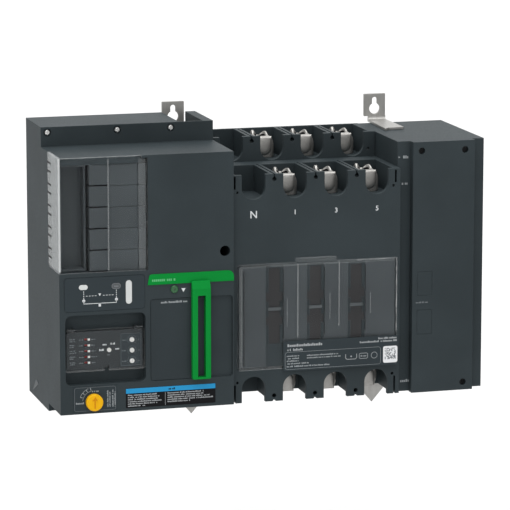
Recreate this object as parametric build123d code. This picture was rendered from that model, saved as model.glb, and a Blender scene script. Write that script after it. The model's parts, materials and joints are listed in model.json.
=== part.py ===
from build123d import *
import math
import os

# Automatic transfer switch for a wall or back plate: a control block on the left, a four pole
# switch body with three poles fitted in the middle, and a power supply box on the right.
# Sizes are in millimetres. While it is being modelled, x = 0 is the middle of the row of poles,
# y = 0 is the back of the three boxes, and z = 0 is the middle of the front. Depth is counted
# forwards, so depth d is at y = -d. PLACE then moves every piece into the part's own frame, whose
# origin is the middle of the upper pair of keyhole entries, on the wall.

# Overall layout
POLE_PITCH = 35.0
POLES = 4
POLE_X = [(i - (POLES - 1) / 2) * POLE_PITCH for i in range(POLES)]
FITTED_X = POLE_X[1:]
BARRIER_X = [(i - 1) * POLE_PITCH for i in range(POLES - 1)]
LEFT_X0 = -215.0
SWITCH_X0 = -70.5
SWITCH_X1 = 72.5
RIGHT_X1 = 147.5
TOP_Z = 104.3
FIXING_X = 88.8
FIXING_Z = 115.7
FIXING_CENTRE_X = 0.8
WALL_GAP = 8.0
PLACE = Location((-FIXING_CENTRE_X, -WALL_GAP, -FIXING_Z))

# Control block
LEFT_FRONT = 121.6
LEFT_SPLIT = 75.5
LEFT_BOTTOM = -104.3
BASE_BOTTOM = -110.8
STEP_TOP = 120.5
STEP_DEPTH = 57.8
WALL = 3.0
STEP_SCREW_X = [-209.5, -151.3, -106.4]
STEP_SCREW_Z = 116.0
STEP_SCREW_R = 2.1
BRACKET_NOTCH_X = (-99.5, -79.0)

# Terminal bay on the upper left of the control block
BAY_X1 = -141.8
BAY_Z0 = 10.8
BAY_FLOOR = 100.0
MODULE_PITCH = 17.4
MODULE_COUNT = 5
MODULE_X0 = -189.0
MODULE_X1 = -142.4
MODULE_FRONT = 118.0
MODULE_TOP_Z = 97.6
MODULE_SPLIT_X = -174.3
MODULE_LINE_X = -149.2
DUCT_X = (-212.5, -191.0)
COVER_HINGE_X = BAY_X1 - 1.4
COVER_HINGE_DEPTH = LEFT_FRONT - 1.0
COVER_EAR = 4.6
COVER_SHEET = 2.0
COVER_PIN_R = 0.6
COVER_SIDE_BACK = 82.0
VENT_COUNT = 10
VENT_TOP_Z = 96.4
VENT_STEP = 7.0
VENT_LENGTH = 13.0
VENT_HALF = 0.6

# One line diagram with its lamps, each as centre x, centre z, width and height
MIMIC_X = (-211.2, -144.8)
MIMIC_Z = (-20.2, 7.6)
MIMIC_SINK = 0.6
LAMPS = [(-195.5, -0.4, 7.2, 4.1), (-168.5, -0.6, 7.6, 4.8), (-158.1, -6.0, 5.0, 19.2)]
MODE_LAMP_XZ = (-120.4, -5.8)
MODE_LAMP_R = 3.2

# Pockets for the knob's plate and the notice, each as lowest and highest x and z
LABEL_POCKETS = [(-204.6, -168.6, -102.8, -81.6), (-161.2, -86.3, -101.7, -85.6)]
LABEL_SINK = 0.3

# Controller in its recess
RECESS_X = (-210.5, -144.3)
RECESS_Z = (-80.5, -23.3)
RECESS_FLOOR = 112.0
CONTROLLER_X = (-208.9, -145.9)
CONTROLLER_Z = (-68.9, -37.5)
CONTROLLER_FRONT = 117.6
DIP_Z = [-44.0 - i * 4.76 for i in range(5)]
DIP_SLOT_X = (-194.1, -189.5)
DIP_SLOT_HALF = 0.9
SELECTOR_XZ = (-173.8, -53.5)
SELECTOR_R = 1.7
DIAL_X = -154.9
DIAL_Z = [-46.1 - i * 8.7 for i in range(3)]
DIAL_R = 1.9
DIAL_PLATE_SHEET = 0.3
LATCH_X = (-178.2, -174.0)
LID_HINGE_Z = -35.9
LID_HINGE_DEPTH = 118.0
LID_PIN_R = 0.7
LID_KNUCKLE = 5.0
# Left edge of each knuckle of the lid, and of the ear that carries its pin
LID_KNUCKLES = [(CONTROLLER_X[0] + 0.3, CONTROLLER_X[0] + 5.5),
                (CONTROLLER_X[1] - 5.3, CONTROLLER_X[1] - 6.7)]

# Mode door with its pull handle
DOOR_RECESS_X = (-140.4, -71.6)
DOOR_RECESS_Z = (-80.6, -13.2)
DOOR_RECESS_FLOOR = 119.4
HANDLE_X = (-106.6, -91.4)
HANDLE_Z = (-80.3, 0.4)
HANDLE_FRONT = 127.0
HANDLE_SLOT_X = (-102.2, -95.6)
HANDLE_SLOT_Z = (-78.9, -11.4)
STRIP_X = (-142.6, -70.7)
STRIP_Z = (-1.3, 7.3)
FRONT_HOLE_XZ = (-77.9, 23.3)

# Run and test knob
KNOB_XZ = (-187.7, -94.6)
KNOB_R = 6.9
KNOB_SHAFT_R = 3.2

# Switch body
REAR_FRONT = 48.7
SWITCH_FRONT = 116.5
SOURCE1_TOP = 104.5
SOURCE2_TOP = 83.5
SWITCH_BOTTOM = -105.0
NOTCH_R = 10.0
NOTCH_DROP = 20.4
POCKET_HALF = 14.5
SWITCH_WALL = 4.0
CHAMBER_HALF = 15.5
CHAMBER_Z = (-78.0, 56.0)
WINDOW_X = (-66.5, 70.0)
WINDOW_Z = (-77.7, 9.9)
WINDOW_RISE = 2.4
SIGHT_SINK = 1.2
BARRIER_HOLE_R = 1.8

# Contact system
SHAFT_Z = -30.0
SHAFT_DEPTH = 60.0
SHAFT_R = 7.0
SHAFT_X = (-104.0, 69.0)
HALF_THROW = 25.0
BLADE_LENGTH = 42.0
CRANK_R = 20.0
CRANK_HALF = 4.0
SPINDLE_X = -131.0
SPINDLE_R = 7.0
SPINDLE_FRONT = 116.0
SOCKET_R = 4.6
SOCKET_DEPTH = 12.0
YOKE_X = (-110.0, -106.0)
YOKE_DEPTH = (84.0, 88.0)
PIN_R = 2.0

# Solenoids of the drive
PLUNGER_X = -108.0
PLUNGER_DEPTH = 76.0
PLUNGER_R = 4.0
PLUNGER_LENGTH = 50.0
COIL_LENGTH = 32.0
COIL_CLEARANCE = 15.0
YOKE_HALF = 12.0

# Terminal lugs
LUG_HALF = 8.2
LUG_HEIGHT = 17.6
LUG_LENGTH = 23.0
LUG_SETBACK = 22.5
LUG_SINK = 4.2
CABLE_R = 5.2
CABLE_SETBACK = 13.0
CABLE_DEPTH = 14.4
CLAMP_X = -1.2
CLAMP_DROP = 9.4
CLAMP_SCREW_R = 2.5
LUG_ROWS = [(SOURCE1_TOP - LUG_SINK, REAR_FRONT - LUG_SETBACK),
            (SOURCE2_TOP - LUG_SINK, SWITCH_FRONT - LUG_SETBACK)]
SOURCE2_POCKET_BACK = 66.0
LOAD_POCKET_BACK = 77.5
LOAD_LUG_FRONT = LOAD_POCKET_BACK + LUG_LENGTH + 0.1
LOAD_LUG_TOP = SWITCH_BOTTOM + LUG_SINK

# Copper bars and fixed contacts
BAR_HALF = 6.0
BAR_SLOT_HALF = 6.3
BAR1_DEPTH = (20.0, 23.0)
BAR2_DEPTH = (84.0, 87.0)
LOAD_BAR_DEPTH = (80.0, 83.0)
PAD_R = 4.0
PAD_Z = 4.0
PAD_GAP = 20.1

# Supply box
SUPPLY_FRONT = 108.0
SUPPLY_Z = (-105.6, 104.2)
SUPPLY_COVER_X = (83.9, 137.3)
SUPPLY_COVER_FRONT = 115.2
SUPPLY_SCREWS = [(91.3, 96.8), (128.8, 96.4), (128.9, -99.4)]
SUPPLY_BOARD_DEPTH = (16.0, 17.6)
CORE_DEPTH = (17.6, 55.0)
CORE_WINDOWS = [(96.0, 104.0), (116.0, 124.0)]
CORE_WINDOW_Z = (-62.0, -28.0)

# Fixing brackets
SHEET = 2.0
LEG_DEPTH = 43.0
HOLE_R = 2.25
KEYHOLE_R = 4.7
KEYHOLE_RISE = 7.6
PLATE_WIDTH = 19.0
LOWER_X = (-73.0, 88.8)
LOWER_HOLE_Z = -118.0
LOWER_TIP_Z = -141.2

os.makedirs("parts", exist_ok=True)


def save(name, shapes):
    """Writes one node, as one solid or as a group of separate solids."""
    group = shapes if isinstance(shapes, list) else [shapes]
    solids = [s for shape in group for s in shape.solids()]
    moved = [PLACE * s for s in solids]
    node = moved[0] if len(moved) == 1 else Compound(children=moved)
    node.label = name
    export_step(node, f"parts/{name}.step")


def block(xs, ds, zs, round_edges=0.0):
    """A box between two x, two depths and two z, with its edges along y rounded."""
    size = (xs[1] - xs[0], ds[1] - ds[0], zs[1] - zs[0])
    shape = Box(*size)
    if round_edges:
        shape = fillet(shape.edges().filter_by(Axis.Y), round_edges)
    return Pos(sum(xs) / 2, -sum(ds) / 2, sum(zs) / 2) * shape


def rod_y(x, z, radius, ds):
    """A round bar along y between two depths."""
    return Pos(x, -sum(ds) / 2, z) * Rot(90, 0, 0) * Cylinder(radius, ds[1] - ds[0])


def rod_x(d, z, radius, xs):
    return Pos(sum(xs) / 2, -d, z) * Rot(0, 90, 0) * Cylinder(radius, xs[1] - xs[0])


def rod_z(x, d, radius, zs):
    return Pos(x, -d, sum(zs) / 2) * Cylinder(radius, zs[1] - zs[0])


def prism_y(points, ds):
    """An outline of (x, z) points, carried between two depths."""
    outline = make_face(Polyline([(x, -ds[1], z) for x, z in points], close=True))
    return extrude(outline, ds[1] - ds[0], dir=(0, 1, 0))


def prism_x(points, xs):
    """An outline of (depth, z) points, carried between two x."""
    outline = make_face(Polyline([(xs[0], -d, z) for d, z in points], close=True))
    return extrude(outline, xs[1] - xs[0], dir=(1, 0, 0))


def prism_z(points, zs):
    """An outline of (x, depth) points, carried between two z."""
    outline = make_face(Polyline([(x, -d, zs[0]) for x, d in points], close=True))
    return extrude(outline, zs[1] - zs[0], dir=(0, 0, 1))


def about_shaft(shape, angle):
    """Turns a shape about the contact shaft; a positive angle tips its top forwards."""
    axis = Axis((0, -SHAFT_DEPTH, SHAFT_Z), (1, 0, 0))
    return shape.rotate(axis, angle)


# ---------------------------------------------------------------- control block


def mechanism_base():
    """Rear housing of the control block, with the raised step and the recess for a bracket."""
    xs = (LEFT_X0, SWITCH_X0 - 0.1)
    inner = (xs[0] + WALL, xs[1] - WALL)
    shape = block(xs, (0, LEFT_SPLIT), (BASE_BOTTOM, TOP_Z))
    shape += block(xs, (0, STEP_DEPTH), (TOP_Z, STEP_TOP))
    shape -= block(inner, (WALL, LEFT_SPLIT), (BASE_BOTTOM + WALL, TOP_Z - WALL))
    shape -= block((inner[0], -102.0), (WALL, STEP_DEPTH - WALL), (TOP_Z - WALL, STEP_TOP - WALL))
    shape -= block(BRACKET_NOTCH_X, (0, STEP_DEPTH - 1.6), (TOP_Z, STEP_TOP))
    for x in STEP_SCREW_X:
        shape -= rod_y(x, STEP_SCREW_Z, STEP_SCREW_R + 1, (STEP_DEPTH - 1.6, STEP_DEPTH))
    shape -= rod_x(SHAFT_DEPTH, SHAFT_Z, SHAFT_R + 0.5, (xs[1] - WALL - 1, xs[1] + 1))
    # Foot that shows below the front housing
    shape += block((xs[0], xs[0] + 2.2), (LEFT_SPLIT, LEFT_SPLIT + 1), (BASE_BOTTOM, LEFT_BOTTOM))
    return shape


def cross_slot(x, z, half_length, half_width, ds):
    """Cross for a screwdriver."""
    across = block((x - half_length, x + half_length), ds, (z - half_width, z + half_width))
    return across + block((x - half_width, x + half_width), ds, (z - half_length, z + half_length))


def step_screws():
    """Three cross-head screws that close the step of the rear housing."""
    screws = []
    for x in STEP_SCREW_X:
        head = rod_y(x, STEP_SCREW_Z, STEP_SCREW_R, (STEP_DEPTH - 1.6, STEP_DEPTH + 0.6))
        head = fillet(head.edges().group_by(Axis.Y)[0], 0.8)
        screws.append(head - cross_slot(x, STEP_SCREW_Z, 1.7, 0.4, (STEP_DEPTH - 0.2, STEP_DEPTH + 1)))
    return screws


def mechanism_cover():
    """Front housing of the control block: terminal bay, controller recess and mode door recess."""
    xs = (LEFT_X0, SWITCH_X0 - 0.1)
    bay_top = MODULE_TOP_Z + 0.3
    cover_pocket = COVER_SHEET + 0.3
    shape = block(xs, (LEFT_SPLIT, LEFT_FRONT), (LEFT_BOTTOM, TOP_Z))
    # Terminal bay with room for its wrap-round cover
    shape -= block((xs[0] - 1, BAY_X1), (BAY_FLOOR, LEFT_FRONT + 1), (BAY_Z0, bay_top))
    front_pocket = (LEFT_FRONT - cover_pocket, LEFT_FRONT + 1)
    shape -= block((xs[0] - 1, BAY_X1 - COVER_EAR), front_pocket, (BAY_Z0, TOP_Z + 1))
    shape -= block((BAY_X1 - COVER_EAR - 1, BAY_X1), (LEFT_FRONT - 4, LEFT_FRONT + 1), (BAY_Z0, TOP_Z - 2.2))
    side_pocket = (COVER_SIDE_BACK, LEFT_FRONT + 1)
    shape -= block((xs[0] - 1, xs[0] + cover_pocket), side_pocket, (BAY_Z0, TOP_Z + 1))
    for zs in ((BAY_Z0 - 3, BAY_Z0 + 1), (TOP_Z - 3, TOP_Z - 0.4)):
        shape -= rod_z(COVER_HINGE_X, COVER_HINGE_DEPTH, COVER_PIN_R + 0.05, zs)
    # Hollow inside, kept behind every recess in the front
    low, high = LEFT_BOTTOM + WALL, TOP_Z - WALL
    right = xs[1] - WALL
    shape -= block((xs[0] + 2 * WALL, BAY_X1), (LEFT_SPLIT, BAY_FLOOR - WALL), (low, high))
    shape -= block((BAY_X1 - 1, right), (LEFT_SPLIT, LEFT_FRONT - WALL), (BAY_Z0, high))
    shape -= block((xs[0] + WALL, BAY_X1), (BAY_FLOOR - WALL - 1, RECESS_FLOOR - WALL), (low, BAY_Z0 - WALL))
    shape -= block((BAY_X1 - 1, right), (LEFT_SPLIT, DOOR_RECESS_FLOOR - WALL), (low, BAY_Z0 + 1))
    # Recesses in the front
    shape -= block(RECESS_X, (RECESS_FLOOR, LEFT_FRONT + 1), RECESS_Z, 5.0)
    shape -= block(DOOR_RECESS_X, (DOOR_RECESS_FLOOR, LEFT_FRONT + 1), DOOR_RECESS_Z, 2.5)
    # Through holes for the hand spindle, the knob, the lamps and the controller's connector
    shape -= rod_y(SPINDLE_X, SHAFT_Z, SPINDLE_R + 0.05, (DOOR_RECESS_FLOOR - WALL - 1, LEFT_FRONT))
    shape -= rod_y(*KNOB_XZ, KNOB_SHAFT_R + 0.1, (RECESS_FLOOR - WALL - 1, LEFT_FRONT + 1))
    shape -= rod_y(*MODE_LAMP_XZ, 2.0, (DOOR_RECESS_FLOOR - WALL - 1, LEFT_FRONT + 1))
    shape -= block((-210.0, -145.0), (RECESS_FLOOR - 4, RECESS_FLOOR + 1), (-66.0, -40.0))
    for x, z, width, height in LAMPS:
        shape -= lamp_outline(x, z, width + 0.4, height + 0.4, (RECESS_FLOOR - WALL - 1, LEFT_FRONT))
    # Open round hole above the door, and shallow beds for the printed panels
    shape -= rod_y(*FRONT_HOLE_XZ, 4.3, (LEFT_FRONT - WALL - 1, LEFT_FRONT + 1))
    shape -= block(MIMIC_X, (LEFT_FRONT - MIMIC_SINK, LEFT_FRONT + 1), MIMIC_Z, 3.0)
    for x0, x1, z0, z1 in LABEL_POCKETS:
        shape -= block((x0, x1), (LEFT_FRONT - LABEL_SINK, LEFT_FRONT + 1), (z0, z1), 0.8)
    return shape


def lamp_outline(x, z, width, height, ds):
    """A slot with round ends."""
    half_w, half_h = width / 2, height / 2
    return block((x - half_w, x + half_w), ds, (z - half_h, z + half_h), min(half_w, half_h) - 0.05)


def mimic_panel():
    """Rounded panel that carries the one line diagram, with windows for its lamps."""
    shape = block((MIMIC_X[0] + 0.2, MIMIC_X[1] - 0.2), (LEFT_FRONT - MIMIC_SINK, LEFT_FRONT + 0.2),
                  (MIMIC_Z[0] + 0.2, MIMIC_Z[1] - 0.2), 2.8)
    for x, z, width, height in LAMPS:
        shape -= lamp_outline(x, z, width + 0.2, height + 0.2, (LEFT_FRONT - 2, LEFT_FRONT + 2))
    return shape


def lamp(index):
    """Light pipe behind one rounded window of the mimic panel."""
    return lamp_outline(*LAMPS[index], (LEFT_FRONT - 8, LEFT_FRONT + 0.3))


def mode_lamp():
    """Round lens of the indicator at the left end of the header strip."""
    stem = rod_y(*MODE_LAMP_XZ, 1.9, (DOOR_RECESS_FLOOR - WALL, LEFT_FRONT))
    front = LEFT_FRONT + 1.4
    head = rod_y(*MODE_LAMP_XZ, MODE_LAMP_R, (LEFT_FRONT, front))
    dimple = rod_y(*MODE_LAMP_XZ, 0.7, (front - 0.5, front + 1))
    return stem + fillet(head.edges().group_by(Axis.Y)[0], 1.1) - dimple


def green_strip():
    """Header strip above the mode door, with a slanted left end and a rounded right end."""
    x0, x1 = STRIP_X
    z0, z1 = STRIP_Z
    shape = prism_y([(x0, z0), (x1, z0), (x1, z1), (x0 + 1.6, z1)], (LEFT_FRONT, LEFT_FRONT + 0.7))
    right = shape.edges().filter_by(Axis.Y).sort_by(lambda e: e.center().X + e.center().Z)[-1]
    shape = fillet(right, 5.0)
    left = shape.edges().filter_by(Axis.Y).sort_by(lambda e: e.center().Z - e.center().X)[-1]
    return fillet(left, 2.6)


def terminal_cover():
    """Clear cover over the control terminals; it wraps round the left side of the block."""
    zs = (BAY_Z0 + 0.3, TOP_Z - 0.1)
    behind = LEFT_FRONT - COVER_SHEET
    front = block((LEFT_X0, BAY_X1 - 0.5), (behind, LEFT_FRONT), zs)
    front -= block((BAY_X1 - COVER_EAR - 0.3, BAY_X1), (BAY_FLOOR, LEFT_FRONT + 1), (TOP_Z - 2.5, TOP_Z))
    side = block((LEFT_X0, LEFT_X0 + COVER_SHEET), (COVER_SIDE_BACK + 0.3, behind), zs)
    shape = front + side
    for pin in ((BAY_Z0 - 2.5, BAY_Z0 + 1), (TOP_Z - 3.5, TOP_Z - 0.8)):
        shape += rod_z(COVER_HINGE_X, COVER_HINGE_DEPTH, COVER_PIN_R, pin)
    vent = (COVER_SIDE_BACK, COVER_SIDE_BACK + 0.3 + VENT_LENGTH)
    for i in range(VENT_COUNT):
        z = VENT_TOP_Z - (i // 2) * MODULE_PITCH - (i % 2) * VENT_STEP
        shape -= block((LEFT_X0 - 1, LEFT_X0 + COVER_SHEET + 1), vent, (z - VENT_HALF, z + VENT_HALF))
    # Shallow groove down the front, beside the wire channel
    shape -= block((-190.6, -187.0), (LEFT_FRONT - 0.5, LEFT_FRONT + 1), (zs[0] + 2, zs[1] - 6))
    return shape


def module_span(i):
    """Lowest and highest z of one terminal block, with a narrow gap below it."""
    top = MODULE_TOP_Z - i * MODULE_PITCH
    return (top - MODULE_PITCH + 0.3, top)


def terminal_modules():
    """Plug-in terminal blocks for the control wiring, one above the other, with plain lids."""
    line = (MODULE_LINE_X - 0.2, MODULE_LINE_X + 0.2)
    entry = (MODULE_X0 - 1, MODULE_SPLIT_X)
    blocks = []
    for i in range(MODULE_COUNT):
        low, high = module_span(i)
        shape = block((MODULE_X0, MODULE_X1), (BAY_FLOOR, MODULE_FRONT), (low, high))
        # Wider gap on the left, where the wires enter, and a line beside the hinge
        shape -= block(entry, (BAY_FLOOR + 6, MODULE_FRONT + 1), (low - 1, low + 0.9))
        blocks.append(shape - block(line, (MODULE_FRONT - 0.8, MODULE_FRONT + 1), (low - 1, high + 1)))
    return blocks


def wire_duct():
    """Dark channel left of the terminal blocks that takes the control wires."""
    sheet = 1.7
    zs = (BAY_Z0 + 0.6, MODULE_TOP_Z)
    shape = block(DUCT_X, (BAY_FLOOR, 113.0), zs)
    inner = (DUCT_X[0] + sheet, DUCT_X[1] - sheet)
    return shape - block(inner, (BAY_FLOOR + sheet, 114.0), (zs[0] + sheet, zs[1] - sheet))


def controller():
    """Setting unit in the recess, with openings for its switches and dials."""
    mouth = CONTROLLER_FRONT + 1
    shape = block(CONTROLLER_X, (RECESS_FLOOR, CONTROLLER_FRONT), CONTROLLER_Z, 2.0)
    for z in DIP_Z:
        shape -= block(DIP_SLOT_X, (CONTROLLER_FRONT - 4, mouth), (z - DIP_SLOT_HALF, z + DIP_SLOT_HALF))
    shape -= rod_y(*SELECTOR_XZ, SELECTOR_R + 0.2, (CONTROLLER_FRONT - 3, mouth))
    for z in DIAL_Z:
        shape -= rod_y(DIAL_X, z, DIAL_R + 0.2, (CONTROLLER_FRONT - 3, mouth))
    shape -= block(LATCH_X, (CONTROLLER_FRONT - 3, mouth), (-69.5, -66.0))
    for pin in lid_hinge_pins():
        shape += pin
    return shape


def dial_panel():
    """Printed plate round the three delay dials."""
    ds = (CONTROLLER_FRONT, CONTROLLER_FRONT + DIAL_PLATE_SHEET)
    shape = block((-164.5, -147.0), ds, (-67.6, -40.4), 0.8)
    for z in DIAL_Z:
        shape -= rod_y(DIAL_X, z, DIAL_R + 0.3, (ds[0] - 1, ds[1] + 1))
    return shape


def dip_slider(z):
    """White slider of one setting switch, at the right hand end of its slot."""
    right = DIP_SLOT_X[1] - 0.1
    return block((right - 1.8, right), (CONTROLLER_FRONT - 1.9, CONTROLLER_FRONT + 0.5), (z - 0.8, z + 0.8))


def dip_slot_floors():
    """Red base at the bottom of each setting switch's slot."""
    ds = (CONTROLLER_FRONT - 4, CONTROLLER_FRONT - 2)
    return [block(DIP_SLOT_X, ds, (z - DIP_SLOT_HALF, z + DIP_SLOT_HALF)) for z in DIP_Z]


def small_dial(x, z, radius):
    """Screwdriver dial with a slot across its face."""
    front = CONTROLLER_FRONT + 1.0
    shape = rod_y(x, z, radius, (CONTROLLER_FRONT - 2.9, front))
    shape = fillet(shape.edges().group_by(Axis.Y)[0], 0.3)
    shape -= block((x - 0.35, x + 0.35), (front - 0.7, front + 1), (z - radius * 0.75, z + radius + 1))
    return shape


def controller_lid():
    """Clear lid over the setting unit, hinged along its top edge."""
    margin = 0.9
    xs = (CONTROLLER_X[0] - margin, CONTROLLER_X[1] + margin)
    zs = (CONTROLLER_Z[0] - margin, LID_HINGE_Z + 0.6)
    ds = (CONTROLLER_FRONT + 1.6, CONTROLLER_FRONT + 2.8)
    shape = block(xs, ds, zs, 2.0)
    shape += block(xs, (RECESS_FLOOR + 0.4, ds[0]), (zs[0], zs[0] + 0.7))
    shape -= block(LATCH_X, (RECESS_FLOOR, ds[1] + 1), (zs[0] - 1, zs[0] + 3.6))
    for x0, _ in LID_KNUCKLES:
        lug_xs = (x0, x0 + LID_KNUCKLE)
        shape += block(lug_xs, (LID_HINGE_DEPTH, ds[0]), (LID_HINGE_Z - 1.3, LID_HINGE_Z + 0.6))
        shape += rod_x(LID_HINGE_DEPTH, LID_HINGE_Z, 1.3, lug_xs)
        shape -= rod_x(LID_HINGE_DEPTH, LID_HINGE_Z, LID_PIN_R + 0.05, (x0 - 1, x0 + LID_KNUCKLE + 1))
    return shape


def lid_hinge_pins():
    """Two pins that carry the lid, each in an ear that stands on the top of the controller."""
    pins = []
    for x0, ear_x in LID_KNUCKLES:
        ear = (ear_x, ear_x + 1.2)
        pin = rod_x(LID_HINGE_DEPTH, LID_HINGE_Z, LID_PIN_R, (min(x0, ear[0]), max(x0 + LID_KNUCKLE, ear[1])))
        pin += block(ear, (RECESS_FLOOR + 1, LID_HINGE_DEPTH), (CONTROLLER_Z[1] - 1, LID_HINGE_Z + 1.0))
        pins.append(pin + rod_x(LID_HINGE_DEPTH, LID_HINGE_Z, 1.0, ear))
    return pins


def test_knob():
    """Round yellow knob with a raised arrow; its shaft runs through the cover."""
    x, z = KNOB_XZ
    back, face = LEFT_FRONT + 0.5, LEFT_FRONT + 4.6
    shape = rod_y(x, z, KNOB_SHAFT_R, (101.0, back)) + rod_y(x, z, KNOB_R, (back, face))
    shape = chamfer(shape.edges().group_by(Axis.Y)[0], 0.7)
    ds = (face, face + 0.5)
    shape += block((x - 0.5, x + 0.5), ds, (z - 4.4, z + 2.6))
    shape += prism_y([(x - 2.2, z + 2.0), (x + 2.2, z + 2.0), (x, z + 5.0)], ds)
    return shape


def printed_plate(pocket):
    """Thin plate that fills one of the label pockets."""
    x0, x1, z0, z1 = pocket
    ds = (LEFT_FRONT - LABEL_SINK, LEFT_FRONT + 0.1)
    return block((x0 + 0.1, x1 - 0.1), ds, (z0 + 0.1, z1 - 0.1), 0.7)


def knob_plate():
    """Plate behind the knob, with a hole for the knob's shaft."""
    hole = rod_y(*KNOB_XZ, KNOB_SHAFT_R + 0.2, (LEFT_FRONT - 1, LEFT_FRONT + 1))
    return printed_plate(LABEL_POCKETS[0]) - hole


def mode_door():
    """Sliding door that uncovers the hand drive as it moves to the right."""
    xs = (DOOR_RECESS_X[0] + 0.3, HANDLE_X[1])
    zs = (DOOR_RECESS_Z[0] + 0.3, DOOR_RECESS_Z[1] - 0.3)
    return block(xs, (DOOR_RECESS_FLOOR + 0.3, LEFT_FRONT - 0.4), zs, 2.0)


def mode_handle():
    """Green pull handle: a tall frame round a slot, with a sloping top."""
    back = LEFT_FRONT + 0.9
    top = HANDLE_Z[1]
    ahead = HANDLE_FRONT + 1
    shape = block(HANDLE_X, (back, HANDLE_FRONT), HANDLE_Z, 1.0)
    # Foot that stands on the door
    foot_z = (DOOR_RECESS_Z[0] + 1.0, DOOR_RECESS_Z[1] - 1.0)
    shape += block((HANDLE_X[0] + 0.4, HANDLE_X[1]), (LEFT_FRONT - 0.4, back), foot_z)
    slope = [(ahead, top + 1), (HANDLE_FRONT - 3.2, top + 1), (HANDLE_FRONT, top - 6.2), (ahead, top - 6.2)]
    shape -= prism_x(slope, (HANDLE_X[0] - 1, HANDLE_X[1] + 1))
    shape -= block(HANDLE_SLOT_X, (LEFT_FRONT - 1, ahead), HANDLE_SLOT_Z, 0.6)
    return shape


# ---------------------------------------------------------------- hand drive and solenoids


def crank_point(angle):
    """Offset of a crank pin across and up, at an angle above the horizontal."""
    a = math.radians(angle)
    return CRANK_R * math.cos(a), CRANK_R * math.sin(a)


def hand_spindle():
    """Hexagon socket for a hand lever behind the mode door, with a crank at its rear end."""
    across, up = crank_point(HALF_THROW)
    pin_x, pin_z = SPINDLE_X + across, SHAFT_Z + up
    web = (YOKE_DEPTH[1] + 1, YOKE_DEPTH[1] + 4)
    shape = rod_y(SPINDLE_X, SHAFT_Z, SPINDLE_R, (web[1], SPINDLE_FRONT))
    shape += rod_y(SPINDLE_X, SHAFT_Z, SPINDLE_R + 2, web)
    arm = block((SPINDLE_X, SPINDLE_X + CRANK_R), web, (SHAFT_Z - CRANK_HALF, SHAFT_Z + CRANK_HALF))
    shape += arm.rotate(Axis((SPINDLE_X, 0, SHAFT_Z), (0, 1, 0)), -HALF_THROW)
    shape += rod_y(pin_x, pin_z, CRANK_HALF, web)
    shape += rod_y(pin_x, pin_z, PIN_R, (YOKE_DEPTH[0] - 1, web[0]))
    mouth = Plane((SPINDLE_X, SOCKET_DEPTH - SPINDLE_FRONT, SHAFT_Z), z_dir=(0, -1, 0))
    return shape - extrude(mouth * RegularPolygon(SOCKET_R, 6), SOCKET_DEPTH + 1)


def drive_yoke():
    """Angled plate that joins the two cranks; a plunger at each end runs in a coil."""
    across, up = crank_point(HALF_THROW)
    z = SHAFT_Z + up
    pin_depth = SHAFT_DEPTH + across
    pin_x = SPINDLE_X + across
    swing = CRANK_R - across
    plate_zs = (z - YOKE_HALF, z + YOKE_HALF)
    shape = block(YOKE_X, (70.0, YOKE_DEPTH[1]), plate_zs)
    shape += block((pin_x - 8, YOKE_X[1]), YOKE_DEPTH, plate_zs)
    # Slots that let each crank pin swing across while it drives the yoke up and down
    half = PIN_R + 0.35
    slot_zs = (z - half, z + half)
    shape -= block((YOKE_X[0] - 1, YOKE_X[1] + 1), (pin_depth - half, pin_depth + swing + half), slot_zs)
    shape -= block((pin_x - half, pin_x + swing + half), (YOKE_DEPTH[0] - 1, YOKE_DEPTH[1] + 1), slot_zs)
    for ends in ((plate_zs[1], plate_zs[1] + PLUNGER_LENGTH), (plate_zs[0] - PLUNGER_LENGTH, plate_zs[0])):
        shape += rod_z(PLUNGER_X, PLUNGER_DEPTH, PLUNGER_R, ends)
    return shape


def coil_span(up):
    """Lowest and highest z of the upper or the lower coil."""
    rise = crank_point(HALF_THROW)[1]
    if up:
        near = SHAFT_Z + rise + COIL_CLEARANCE
        return (near, near + COIL_LENGTH)
    near = SHAFT_Z - rise - COIL_CLEARANCE
    return (near - COIL_LENGTH, near)


def coil(up):
    """Solenoid coil on its bobbin, with a bore for the plunger."""
    zs = coil_span(up)
    winding = rod_z(PLUNGER_X, PLUNGER_DEPTH, 13.0, (zs[0] + 2, zs[1] - 2))
    for end in ((zs[0], zs[0] + 2), (zs[1] - 2, zs[1])):
        winding += rod_z(PLUNGER_X, PLUNGER_DEPTH, 15.0, end)
    return winding - rod_z(PLUNGER_X, PLUNGER_DEPTH, PLUNGER_R + 0.4, (zs[0] - 1, zs[1] + 1))


def coil_frame():
    """Steel frame on the back wall that holds both coils and the spindle's bearing."""
    low, high = coil_span(False)[0], coil_span(True)[1]
    shape = block((-126.0, -90.0), (WALL, 6.0), (low - 4, high + 4))
    for z in (high, low - 3):
        arm = block((-124.0, -92.0), (6.0, PLUNGER_DEPTH + 12), (z, z + 3))
        shape += arm - rod_z(PLUNGER_X, PLUNGER_DEPTH, PLUNGER_R + 1, (z - 1, z + 4))
    return shape


def control_board():
    """Circuit board behind the controller, on four posts."""
    back = 94.0
    shape = block((-206.0, -148.0), (back, back + 1.6), (-98.0, 4.0))
    for x in (-202.0, -152.0):
        for z in (-95.0, 0.0):
            shape += rod_y(x, z, 2.0, (WALL, back))
    # Components as centre x, centre z, width, height and how far they stand out behind
    components = [(-190, -40, 22, 22, 3), (-165, -20, 12, 16, 8), (-170, -70, 18, 10, 10)]
    for x, z, width, height, tall in components:
        shape += block((x - width / 2, x + width / 2), (back - tall, back), (z - height / 2, z + height / 2))
    return shape


# ---------------------------------------------------------------- switch body


def u_notch(x, top, ds):
    """Upright notch with a round foot, open at the top."""
    foot = top - NOTCH_DROP + NOTCH_R
    return block((x - NOTCH_R, x + NOTCH_R), ds, (foot, top + 1)) + rod_y(x, foot, NOTCH_R, ds)


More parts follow.
